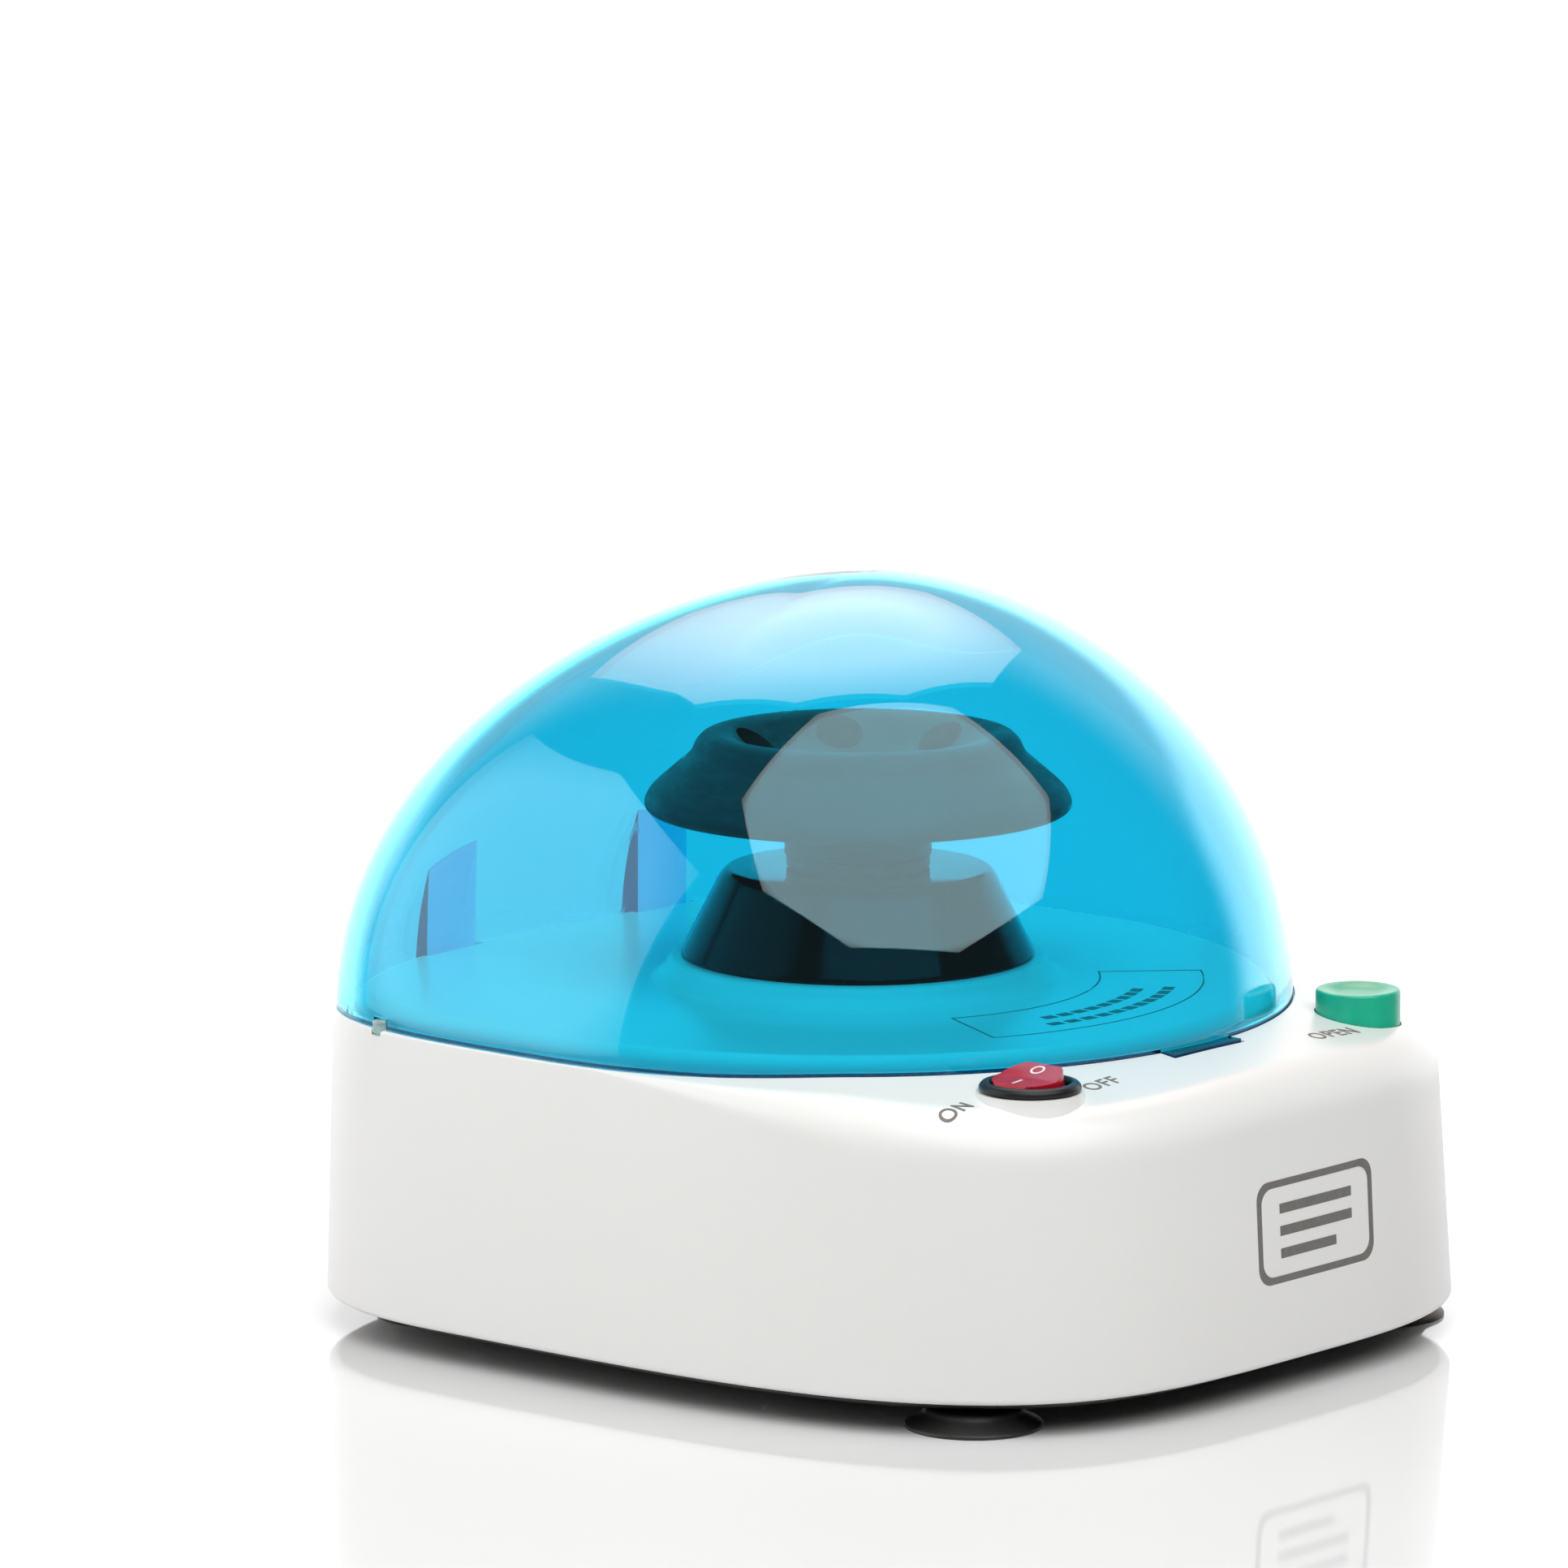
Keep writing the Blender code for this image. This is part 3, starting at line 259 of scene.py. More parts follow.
MATERIALS = {
    "white_housing": surface(
        "white_moulding", (0.84, 0.84, 0.82), 0.28,
        ((9, 2), (0.2, (0.838, 0.837, 0.818)), (0.8, (0.845, 0.845, 0.828))),
        ((25, 3), (0.1, 0.27), (0.9, 0.31)), ((1500, 2), 0.04, 0.00005),
        Specular_IOR_Level=0.45),
    "dark_pan": surface(
        "dark_moulding", (0.05, 0.04, 0.038), 0.5,
        ((40, 4), (0.3, (0.042, 0.034, 0.031)), (0.7, (0.062, 0.052, 0.048))),
        grain=((2200, 2), 0.35, 0.0001)),
    "tinted_lid": tinted_lid(),
    "clear_bumper": surface(
        "clear_silicone", (0.80, 0.88, 0.84), 0.2,
        wear=((400, 3), (0.3, 0.15), (0.7, 0.35)), IOR=1.41, Transmission_Weight=0.7),
    "gloss_black": surface(
        "polished_black", (0.006, 0.006, 0.007), 0.09,
        ((1500, 2, 0.6), (0.74, 0.005), (0.80, 0.10)),
        ((55, 6, 0.65), (0.4, 0.05), (0.8, 0.22)), Specular_IOR_Level=0.15),
    "matte_black": surface(
        "matt_black", (0.018, 0.019, 0.020), 0.5,
        ((90, 6, 0.7, (1, 1, 4)), (0.35, (0.015, 0.016, 0.017)), (0.70, (0.034, 0.036, 0.038))),
        ((90, 6, 0.7, (1, 1, 4)), (0.35, 0.56), (0.75, 0.36)), ((1400, 3), 0.18, 0.0001),
        Specular_IOR_Level=0.35),
    "black_bezel": surface(
        "satin_black", (0.012, 0.012, 0.013), 0.36,
        wear=((300, 4), (0.3, 0.30), (0.7, 0.46)), grain=((2600, 2), 0.15, 0.0001),
        Specular_IOR_Level=0.3),
    "red_rocker": surface(
        "translucent_red", (0.46, 0.006, 0.026), 0.16,
        ((180, 3), (0.3, (0.42, 0.005, 0.022)), (0.7, (0.52, 0.008, 0.033))),
        Subsurface_Weight=0.35, Subsurface_Scale=0.004, Subsurface_Radius=(1.0, 0.15, 0.15),
        Specular_IOR_Level=0.35),
    "green_button": surface(
        "green_moulding", (0.010, 0.44, 0.27), 0.30,
        ((220, 3), (0.3, (0.008, 0.415, 0.250)), (0.7, (0.014, 0.465, 0.285))),
        grain=((1800, 2), 0.10, 0.0001), Specular_IOR_Level=0.45),
    "black_rubber": surface(
        "black_rubber", (0.012, 0.012, 0.012), 0.45,
        ((120, 5), (0.3, (0.010, 0.010, 0.010)), (0.75, (0.030, 0.029, 0.028))),
        grain=((800, 3), 0.2, 0.0001)),
    "nylon": surface(
        "natural_nylon", (0.75, 0.73, 0.66), 0.45,
        ((160, 3), (0.3, (0.71, 0.69, 0.61)), (0.7, (0.78, 0.76, 0.70))),
        grain=((1200, 2), 0.12, 0.0001), Subsurface_Weight=0.1, Subsurface_Scale=0.002),
    "steel": surface(
        "plated_steel", (0.62, 0.62, 0.63), 0.28,
        ((500, 4, 0.6, (1, 1, 6)), (0.3, (0.52, 0.52, 0.53)), (0.7, (0.70, 0.70, 0.71))),
        ((500, 4, 0.6, (1, 1, 6)), (0.3, 0.36), (0.7, 0.22)), Metallic=1.0),
    "brass": surface(
        "turned_brass", (0.75, 0.55, 0.25), 0.28,
        ((300, 4), (0.3, (0.66, 0.47, 0.20)), (0.7, (0.80, 0.60, 0.29))), Metallic=1.0),
    "circuit_board": solder_mask(),
    "capacitor_sleeve": surface(
        "shrink_sleeve", (0.02, 0.03, 0.12), 0.25,
        ((200, 3), (0.3, (0.016, 0.025, 0.10)), (0.7, (0.028, 0.040, 0.15)))),
}
ARM_TINT = tinted_lid("tinted_arm", (0.01, 0.72, 0.95), (0.05, 0.72, 0.92), 1.12)
# a near-black copy of the arm's tint: painted shade for the arm faces that look towards -X
ARM_SIDE_SHADE = tinted_lid("tinted_arm_painted_shade", (0.0002, 0.02, 0.06), (0.01, 0.2, 0.4), 1.12)
# deep tint of thick or cut-edge plastic, also laid along the lid's lower edge as a painted shadow
# of the gap under the rim
EDGE_TINT_AND_SHADOW = tinted_lid("tinted_edge_and_shadow", (0.001, 0.09, 0.20), (0.05, 0.40, 0.60))
GREY_INK = surface(
    "grey_print", (0.16, 0.155, 0.145), 0.55,
    ((700, 5, 0.7), (0.3, (0.145, 0.138, 0.128)), (0.7, (0.185, 0.178, 0.168))))
WHITE_INK = surface(
    "white_print", (0.85, 0.80, 0.80), 0.5,
    ((900, 4), (0.3, (0.80, 0.72, 0.73)), (0.7, (0.90, 0.86, 0.86))))


# ---- mesh helpers
SMOOTH_ANGLE = math.radians(30)  # faces that meet at more than this keep a sharp edge
MERGE = 2e-6                     # points nearer than this become one


def add_object(name, data):
    piece = bpy.data.objects.new(name, data)
    bpy.context.scene.collection.objects.link(piece)
    return piece


def take_mesh(name, bm):
    mesh = bpy.data.meshes.new(name)
    bm.to_mesh(mesh)
    bm.free()
    return mesh


def applied_mesh(piece):
    """A piece's mesh with its modifiers applied."""
    bpy.context.view_layer.update()
    result = piece.evaluated_get(bpy.context.evaluated_depsgraph_get())
    return bpy.data.meshes.new_from_object(result)


def new_piece(name, bm, slot=None):
    """An object from a bmesh, with its faces out, in a material slot's look."""
    bmesh.ops.recalc_face_normals(bm, faces=bm.faces)
    if bm.calc_volume(signed=True) < 0:
        bmesh.ops.reverse_faces(bm, faces=bm.faces)
    mesh = take_mesh(name, bm)
    mesh.shade_smooth()
    mesh.set_sharp_from_angle(angle=SMOOTH_ANGLE)
    if slot:
        mesh.materials.append(MATERIALS[slot])
    return add_object(name, mesh)


def settle(piece, body, slot, *nodes):
    """Rides a finished piece on its body, in place of its CAD nodes."""
    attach(piece, body)
    if nodes:
        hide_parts(*nodes)
    return piece


def repaint(piece, *materials):
    """Puts these materials in place of the ones that a piece has."""
    piece.data.materials.clear()
    for material in materials:
        piece.data.materials.append(material)


def loft(name, rings, slot=None, closed=False):
    bm = bmesh.new()
    loops = [[bm.verts.new(point) for point in points] for points in rings]
    pairs = list(zip(loops, loops[1:]))
    if closed:
        pairs.append((loops[-1], loops[0]))
    else:
        bm.faces.new(list(reversed(loops[0])))
        bm.faces.new(loops[-1])
    for lower, upper in pairs:
        for i in range(len(lower)):
            j = (i + 1) % len(lower)
            bm.faces.new((lower[i], lower[j], upper[j], upper[i]))
    return new_piece(name, bm, slot)


def turned(name, profile, slot, centre=(0.0, 0.0), steps=TURN_STEPS):
    """A round piece from (radius, height) points, closed on the axis or as a loop."""
    on_axis = profile[0][0] == 0.0
    bm = bmesh.new()
    verts = [bm.verts.new((r + centre[0], centre[1], z)) for r, z in profile]
    edges = [bm.edges.new(pair) for pair in zip(verts, verts[1:])]
    if not on_axis:
        edges.append(bm.edges.new((verts[-1], verts[0])))
    bmesh.ops.spin(bm, geom=verts + edges, cent=(*centre, 0.0), axis=(0, 0, 1),
                   angle=math.tau, steps=steps, use_merge=True)
    bmesh.ops.remove_doubles(bm, verts=bm.verts, dist=1e-6)
    return new_piece(name, bm, slot)


def rounded(points, radius, steps=5):
    """Replaces each inner corner of a profile by an arc of about this radius."""
    result = [points[0]]
    for before, corner, after in zip(points, points[1:], points[2:]):
        corner = Vector(corner)
        to_before = Vector(before) - corner
        to_after = Vector(after) - corner
        reach = min(radius, 0.45 * to_before.length, 0.45 * to_after.length)
        start = corner + to_before.normalized() * reach
        end = corner + to_after.normalized() * reach
        for i in range(steps + 1):
            t = i / steps
            point = start * (1 - t) ** 2 + corner * 2 * t * (1 - t) + end * t * t
            result.append(tuple(point))
    result.append(points[-1])
    return result


def block(name, low, high):
    bm = bmesh.new()
    bmesh.ops.create_cube(bm, size=1.0)
    low, high = Vector(low), Vector(high)
    scale = Matrix.Diagonal((*(high - low), 1.0))
    bmesh.ops.transform(bm, matrix=Matrix.Translation((low + high) / 2) @ scale,
                        verts=bm.verts)
    return new_piece(name, bm)


def rod(name, start, end, radius, sides=64):
    start, end = Vector(start), Vector(end)
    along = end - start
    bm = bmesh.new()
    bmesh.ops.create_cone(bm, cap_ends=True, segments=sides, radius1=radius,
                          radius2=radius, depth=along.length)
    turn = along.to_track_quat("Z", "Y").to_matrix().to_4x4()
    bmesh.ops.transform(bm, matrix=Matrix.Translation((start + end) / 2) @ turn,
                        verts=bm.verts)
    return new_piece(name, bm)


def combine(piece, operation, tools):
    """Cuts, joins or intersects a piece with tools, which are then removed."""
    for tool in tools:
        modifier = piece.modifiers.new(operation.lower(), "BOOLEAN")
        modifier.operation = operation
        modifier.solver = "EXACT"
        modifier.object = tool
        modifier.material_mode = "INDEX"
        mesh = applied_mesh(piece)
        piece.modifiers.clear()
        old_mesh = piece.data
        piece.data = mesh
        bpy.data.meshes.remove(old_mesh)
        bpy.data.objects.remove(tool, do_unlink=True)
    bm = bmesh.new()
    bm.from_mesh(piece.data)
    bmesh.ops.remove_doubles(bm, verts=bm.verts, dist=MERGE)
    bmesh.ops.dissolve_degenerate(bm, edges=bm.edges, dist=MERGE)
    bm.to_mesh(piece.data)
    bm.free()
    piece.data.shade_smooth()
    piece.data.set_sharp_from_angle(angle=SMOOTH_ANGLE)
    return piece


# ---- outlines
def smoothstep(value):
    value = min(max(value, 0.0), 1.0)
    return value * value * (3 - 2 * value)


def plan_radius(plan, angle, inset=0.0):
    """How far an outline is from the rotor's axis, in a direction."""
    width = plan["half_width"] - inset
    near, far = 0.0, 0.3
    for _ in range(36):
        radius = (near + far) / 2
        x = radius * math.cos(angle)
        y = radius * math.sin(angle) - plan["middle"]
        if y < 0:
            power = plan["front_power"]
            length = plan["front"] - inset + plan["middle"]
        else:
            power = plan["rear_power"]
            length = plan["rear"] - inset - plan["middle"]
        if abs(x / width) ** power + abs(y / length) ** power < 1.0:
            near = radius
        else:
            far = radius
    return radius


def body_edge(inset):
    return lambda angle: plan_radius(BODY_PLAN, angle, inset)


def polar(radius, turn):
    """The point at a distance from the origin, in a direction given in degrees."""
    angle = math.radians(turn)
    return radius * math.cos(angle), radius * math.sin(angle)


ANGLES = [math.tau * i / PLAN_STEPS for i in range(PLAN_STEPS)]


def at(radius, angle, z):
    return (radius * math.cos(angle), ROTOR_Y + radius * math.sin(angle), z)


def ring(radius, z):
    """Points round the rotor's axis.  Radius and height are numbers, or depend on the angle."""
    return [at(radius(angle) if callable(radius) else radius, angle,
               z(angle) if callable(z) else z) for angle in ANGLES]


def lid_edge(angle):
    return plan_radius(LID_PLAN, angle)


def wall_top(angle):
    lean = DRAFT * (SEAT_Z - HOUSING_BOTTOM)
    return max(plan_radius(BODY_PLAN, angle, lean), lid_edge(angle) + 0.0008)


def roll_radius(angle):
    room = wall_top(angle) - lid_edge(angle)
    return min(max(0.55 * room, 0.0005), CORNER_RADIUS)


def seat_height(angle):
    back = lid_edge(angle) * math.sin(angle)
    return SEAT_Z - REAR_DIP * smoothstep((back - REAR_DIP_START) / REAR_DIP_LENGTH)


def deck_run(angle):
    return max(wall_top(angle) - roll_radius(angle) - lid_edge(angle), 0.0)


def deck_start_height(angle):
    step = SIDE_STEP + (DECK_STEP - SIDE_STEP) * smoothstep(deck_run(angle) / DECK_STEP_RUN)
    return seat_height(angle) + step


def deck_edge_height(angle):
    return deck_start_height(angle) - DECK_SLOPE * deck_run(angle)


def roll_ring(turn, inset=0.0):
    """A ring along the rolled edge.  Turn 0 is on the wall, and 90 is on the deck."""
    across, up = polar(1, turn)

    def place(angle, edge, share):
        r = roll_radius(angle)
        return edge(angle) - max(r, inset) + max(r - inset, 0.0002) * share

    return ring(lambda a: place(a, wall_top, across), lambda a: place(a, deck_edge_height, up))


def front_deck_height(x, y):
    """Height of the front deck or of its rolled edge under a point."""
    angle = math.atan2(y - ROTOR_Y, x)
    out = math.hypot(x, y - ROTOR_Y)
    roll = roll_radius(angle)
    past_edge = out - wall_top(angle) + roll
    if past_edge > 0.0:
        return deck_edge_height(angle) - roll + math.sqrt(max(roll ** 2 - past_edge ** 2, 0.0))
    return deck_start_height(angle) - DECK_SLOPE * max(out - lid_edge(angle), 0.0)


def wall_point(x, z, proud=0.0):
    """A point on the front wall, stood off from it by a little."""
    high_z = deck_edge_height(-math.pi / 2) - CORNER_RADIUS
    low_z = HOUSING_BOTTOM + FOOT_RADIUS
    share = (high_z - z) / (high_z - low_z)
    angle = -math.pi / 2
    for _ in range(12):
        top = wall_top(angle)
        radius = top + (plan_radius(BODY_PLAN, angle) - top) * share + proud
        angle = -math.pi / 2 + math.asin(x / radius)
    return Vector(at(radius, angle, z))


def post(spot, low_z, high_z, radius, sides=64):
    return rod("post", (spot.x, spot.y, low_z), (spot.x, spot.y, high_z), radius, sides)


def bumper_rods(low_z, high_z, radius, sides=64):
    """A rod through each bumper's place, to cut its hole or its notch."""
    return [post(middle(f"lid_bumper_{word}"), low_z, high_z, radius, sides)
            for word in ("left", "right")]


# ---- housing
def housing_rings():
    def seat_edge(angle):
        return min(lid_edge(angle) + 0.0004, wall_top(angle) - roll_radius(angle) - 0.0002)

    def deck_wall(inset=0.0):
        return lambda angle: lid_edge(angle) - LEDGE_WIDTH - inset

    def seat_under(angle):
        return seat_height(angle) - WALL

    rings = []
    for turn in (0, 22, 45, 67, 90):
        across, up = polar(1, turn)
        rings.append(ring(body_edge(FOOT_RADIUS * (1 - up)),
                          HOUSING_BOTTOM + FOOT_RADIUS * (1 - across)))
    rings += [roll_ring(turn) for turn in range(0, 91, 10)]
    rings += [ring(seat_edge, deck_start_height), ring(seat_edge, seat_height),
              ring(deck_wall(), seat_height)]
    for turn in range(0, 91, 15):
        across, up = polar(1, turn)
        rings.append(ring(deck_wall(DECK_RADIUS * (1 - across)), DECK_Z - DECK_RADIUS * (1 - up)))
    flare = rounded([(0.0500, DECK_Z), (0.0466, DECK_Z), (0.0440, DECK_Z + 0.0024),
                     (0.0430, BOSS_Z), (0.0260, BOSS_Z)], 0.0022)
    rings += [ring(radius, z) for radius, z in flare]
    inner_deck_z = DECK_Z - WALL
    rings += [ring(0.0260, BOSS_Z - WALL), ring(0.0410, BOSS_Z - WALL),
              ring(0.0450, inner_deck_z), ring(deck_wall(WALL), inner_deck_z),
              ring(deck_wall(WALL), seat_under), roll_ring(90, WALL), roll_ring(45, WALL),
              roll_ring(0, WALL), ring(body_edge(WALL), HOUSING_BOTTOM)]
    return rings


def make_housing():
    housing = loft("housing_shell", housing_rings(), "white_housing", closed=True)
    pad_profile = [(0.0, SEAT_Z - 0.0060), (PAD_RADIUS + 0.0016, SEAT_Z - 0.0060),
                   (PAD_RADIUS + 0.0002, PAD_Z - 0.0014), (PAD_RADIUS, PAD_Z + 0.0020),
                   (0.0, PAD_Z + 0.0020)]
    pad = turned("pad", rounded(pad_profile, 0.0012), "white_housing",
                 (SWITCH.x, SWITCH.y))
    combine(housing, "UNION", [pad])
    holes = [
        post(SWITCH, PAD_Z, PAD_Z + 0.010, PAD_RADIUS + 0.0002, 96),
        post(SWITCH, 0.055, 0.085, SWITCH_BORE),
        post(BUTTON, 0.055, 0.085, BUTTON_BORE, 96),
        block("hole", (-TAB_HALF_WIDTH - 0.0006, LIP_Y - 0.0037, SEAT_Z - 0.0017),
              (TAB_HALF_WIDTH + 0.0006, LIP_Y + 0.0036, SEAT_Z + 0.003)),
        block("hole", (-HOOK_HALF_WIDTH - 0.0006, LIP_Y - 0.0037, 0.060),
              (HOOK_HALF_WIDTH + 0.0006, LIP_Y + 0.0033, SEAT_Z + 0.003)),
        rod("hole", (0, ROTOR_Y + 0.095, 0.030), (0, ROTOR_Y + 0.110, 0.030), 0.0056),
    ]
    for inner, outer in ((ARM_INNER_X, ARM_OUTER_X + 0.0020),
                         (-ARM_OUTER_X, -ARM_INNER_X + 0.0020)):
        holes.append(block("hole", (inner - 0.0007, ROTOR_Y + 0.0909, HINGE_Z - 0.0065),
                           (outer + 0.0007, ROTOR_Y + 0.112, DECK_Z + 0.01)))
    holes += bumper_rods(SEAT_Z - 0.0012, SEAT_Z + 0.005, 0.0024)
    combine(housing, "DIFFERENCE", holes)
    return settle(housing, "housing", "white_housing", "upper_housing")


def make_pan():
    lip = WALL + 0.0003
    rings = [ring(body_edge(inset), z) for inset, z in (
        (PAN_TAPER + 0.0008, PAN_BOTTOM), (PAN_TAPER - 0.0004, PAN_BOTTOM + 0.0001),
        (0.0023, HOUSING_BOTTOM - 0.0004), (0.0021, HOUSING_BOTTOM - 0.0003),
        (lip, HOUSING_BOTTOM - 0.0003), (lip, HOUSING_BOTTOM + 0.004),
        (lip + 0.0018, HOUSING_BOTTOM + 0.004), (lip + 0.0022, HOUSING_BOTTOM + 0.001),
        (PAN_TAPER, PAN_BOTTOM + WALL))]
    pan = loft("pan_shell", rings, "dark_pan")
    holes = [block("vent", (i * 0.009 - 0.0015, ROTOR_Y - 0.020, 0.0),
                   (i * 0.009 + 0.0015, ROTOR_Y + 0.020, 0.012)) for i in range(-3, 4)]
    combine(pan, "DIFFERENCE", holes)
    return settle(pan, "housing", "dark_pan", "base_pan")


def make_feet():
    """Rubber suction feet with a rolled rim."""
    neck_z = PAN_BOTTOM - 0.0001
    profile = [(0.0, 0.0022), (0.0060, 0.0020), (0.0110, 0.0011), (0.0138, 0.0),
               (0.0153, 0.0), (0.0153, 0.0008), (0.0130, 0.0019), (0.0112, 0.0030),
               (0.0105, neck_z), (0.0, neck_z)]
    for word in ("front_left", "front_right", "rear_left", "rear_right"):
        node = f"suction_foot_{word}"
        spot = middle(node)
        foot = turned(f"foot_{word}", rounded(profile, 0.0007, 3), "black_rubber",
                      (spot.x, spot.y), 72)
        settle(foot, "housing", "black_rubber", node)


# ---- lid
CLIMBS = [math.radians(89.2) * i / 56 for i in range(57)]


def dome_ring(inset, climb, foot_z, top_z):
    shrink = math.cos(climb) ** (2 * DOME_POWER)
    z = foot_z + (top_z - foot_z) * math.sin(climb)
    points = []
    for angle in ANGLES:
        x, y, _ = at(plan_radius(LID_PLAN, angle, inset), angle, z)
        points.append((x * shrink, APEX_Y + (y - APEX_Y) * shrink, z))
    return points


def dome(inset, top_z):
    return [dome_ring(inset, climb, RIM_Z, top_z) for climb in CLIMBS]


def make_lid():
    lid = loft("lid_shell", list(reversed(dome(0.0, APEX_Z))), "tinted_lid")
    hollow = [dome_ring(LID_WALL, 0.0, RIM_Z - 0.01, APEX_Z)] + dome(LID_WALL, APEX_Z - LID_WALL)
    combine(lid, "DIFFERENCE", [loft("hollow", hollow)])
    for piece in (make_lid_hook(), make_rim_edge()):
        swell = add_object("swell", piece.data.copy())
        for vert, source in zip(swell.data.vertices, piece.data.vertices):
            vert.co = source.co + source.normal * LID_GAP
        combine(lid, "DIFFERENCE", [swell])
    combine(lid, "DIFFERENCE", bumper_rods(RIM_Z - 0.002, RIM_Z + 0.0022, 0.0025, 32))
    settle(lid, "lid", "tinted_lid", "lid_dome")
    make_lid_arms()


def make_lid_hook():
    """The tab at the front of the rim, and the hook that the latch holds."""
    hook = block("lid_tab", (-TAB_HALF_WIDTH, LIP_Y - 0.0029, SEAT_Z - 0.0012),
                 (TAB_HALF_WIDTH, LIP_Y + 0.0024, RIM_Z + 0.0011))
    combine(hook, "UNION", [
        block("stem", (-HOOK_HALF_WIDTH, LIP_Y - 0.0004, 0.0606),
              (HOOK_HALF_WIDTH, LIP_Y + 0.0025, SEAT_Z)),
        block("lip", (-HOOK_HALF_WIDTH, LIP_Y - 0.0029, 0.0598),
              (HOOK_HALF_WIDTH, LIP_Y + 0.0025, 0.0623)),
    ])
    repaint(hook, EDGE_TINT_AND_SHADOW)
    return settle(hook, "lid", "tinted_lid")


def make_rim_edge():
    """The cut lower edge of the dome, darker for the tint that the edge gathers and for the
    painted shadow of the gap under the rim.
    """
    # the band reaches just above the deck, where its dark tint is a painted shadow of the gap
    # under the rim
    tops = [max(RIM_Z, deck_start_height(angle)) + 0.0007 for angle in ANGLES]
    rings = []
    for inset, level in ((0.0002, tops), (0.0002, None), (LID_WALL, None), (LID_WALL, tops)):
        points = dome_ring(inset, 0.0, RIM_Z, APEX_Z)
        if level:
            points = [(x, y, top) for (x, y, _), top in zip(points, level)]
        rings.append(points)
    edge = loft("lid_rim_edge", rings, closed=True)
    gap = block("gap", (-TAB_HALF_WIDTH - 0.0001, LIP_Y - 0.004, RIM_Z - 0.001),
                (TAB_HALF_WIDTH + 0.0001, LIP_Y + 0.004, RIM_Z + 0.002))
    combine(edge, "DIFFERENCE",
            [gap] + bumper_rods(RIM_Z - 0.002, RIM_Z + 0.0022, 0.0025, 32))
    repaint(edge, EDGE_TINT_AND_SHADOW)
    return settle(edge, "lid", "tinted_lid")


def make_lid_arms():
    """Thick hinge arms of a deeper blue, moulded against the inside of the dome, with painted
    shade on their faces towards -X.
    """
    room = dome(LID_WALL + ARM_CLEAR, APEX_Z - LID_WALL)
    for side, word in ((-1, "left"), (1, "right")):
        xs = sorted((side * ARM_INNER_X, side * ARM_OUTER_X))
        arm = block("lid_arm_" + word, (xs[0], ARM_FRONT_Y, RIM_Z + 0.0001),
                    (xs[1], ROTOR_Y + 0.110, RIM_Z + 0.034))
        combine(arm, "INTERSECT", [loft("room", room)])
        combine(arm, "UNION", [arm_foot(xs)])
        pin = rod("pin_hole", (-0.06, HINGE_Y, HINGE_Z), (0.06, HINGE_Y, HINGE_Z),
                  0.0018, 32)
        combine(arm, "DIFFERENCE", [pin])
        repaint(arm, ARM_TINT, ARM_SIDE_SHADE)
        # faces that look towards -X take the dark copy, as painted shade on that side of each arm
        for face in arm.data.polygons:
            face.material_index = 1 if face.normal.x < -0.7 else 0
        settle(arm, "lid", "tinted_lid")


def arm_foot(xs):
    """The knuckle round the hinge pin, and the bar that ties it to the arm."""
    back = ROTOR_Y + LID_PLAN["rear"] - LID_WALL - 2 * ARM_CLEAR
    outline = [(back, RIM_Z + 0.0030), (ARM_FRONT_Y, RIM_Z + 0.0030)]
    for turn in range(150, 391, 12):
        across, up = polar(KNUCKLE_RADIUS, turn)
        outline.append((HINGE_Y + across, HINGE_Z + up))
    return loft("arm_foot", [[(x, y, z) for y, z in outline]
                             for x in (xs[0] + 0.00005, xs[1] - 0.00005)])


def make_bumpers():
    for word in ("left", "right"):
        node = f"lid_bumper_{word}"
        low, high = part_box(node)
        spot = middle(node)
        profile = [(0.0, low.z), (0.0021, low.z), (0.0021, high.z), (0.0, high.z)]
        bumper = turned(f"bumper_{word}", rounded(profile, 0.0009), "clear_bumper",
                        (spot.x, spot.y), 40)
        settle(bumper, "housing", "clear_bumper", node)


# ---- rotor and drive
def make_motor_cover():
    profile = [(0.0375, BOSS_Z + 0.0003), (0.0404, BOSS_Z + 0.0003),
               (0.0402, BOSS_Z + 0.0012), (0.0314, COVER_TOP_Z - 0.0014),
               (0.0300, COVER_TOP_Z), (0.0045, COVER_TOP_Z), (0.0045, COVER_TOP_Z - 0.002),
               (0.0285, COVER_TOP_Z - 0.002), (0.0375, BOSS_Z + 0.0003)]
    profile = rounded(profile, 0.0010)[:-1]
    cover = turned("cover_cone", profile, "gloss_black", (0.0, ROTOR_Y), 192)
    return settle(cover, "housing", "gloss_black", "motor_cover")


def make_rotor_group():
    axis = (0.0, ROTOR_Y)
    for node, rim in (("drive_collar", 0.0005), ("rotor_hub", 0.0006)):
        low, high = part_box(node)
        radius = (high.x - low.x) / 2
        profile = [(SHAFT_BORE, low.z), (radius, low.z), (radius, high.z),
                   (SHAFT_BORE, high.z), (SHAFT_BORE, low.z)]
        piece = turned(f"{node}_round", rounded(profile, rim, 4)[:-1], "matte_black", axis)
        settle(piece, "spinning_rotor", "matte_black", node)
    make_rotor()
    low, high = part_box("rotor_nut")
    profile = [(0.0, high.z), (0.0052, high.z), (0.0070, high.z - 0.0010), (0.0070, low.z),
               (SHAFT_BORE, low.z), (SHAFT_BORE, 0.1262), (0.0, 0.1262)]
    nut = turned("nut_cap", rounded(profile, 0.0005, 3), "matte_black", axis)
    combine(nut, "DIFFERENCE", [
        rod("groove", at(0.0074, angle, low.z + 0.001), at(0.0074, angle, high.z + 0.002),
            0.0009, sides=20) for angle in [math.tau * i / 6 for i in range(6)]])
    settle(nut, "spinning_rotor", "matte_black", "rotor_nut")


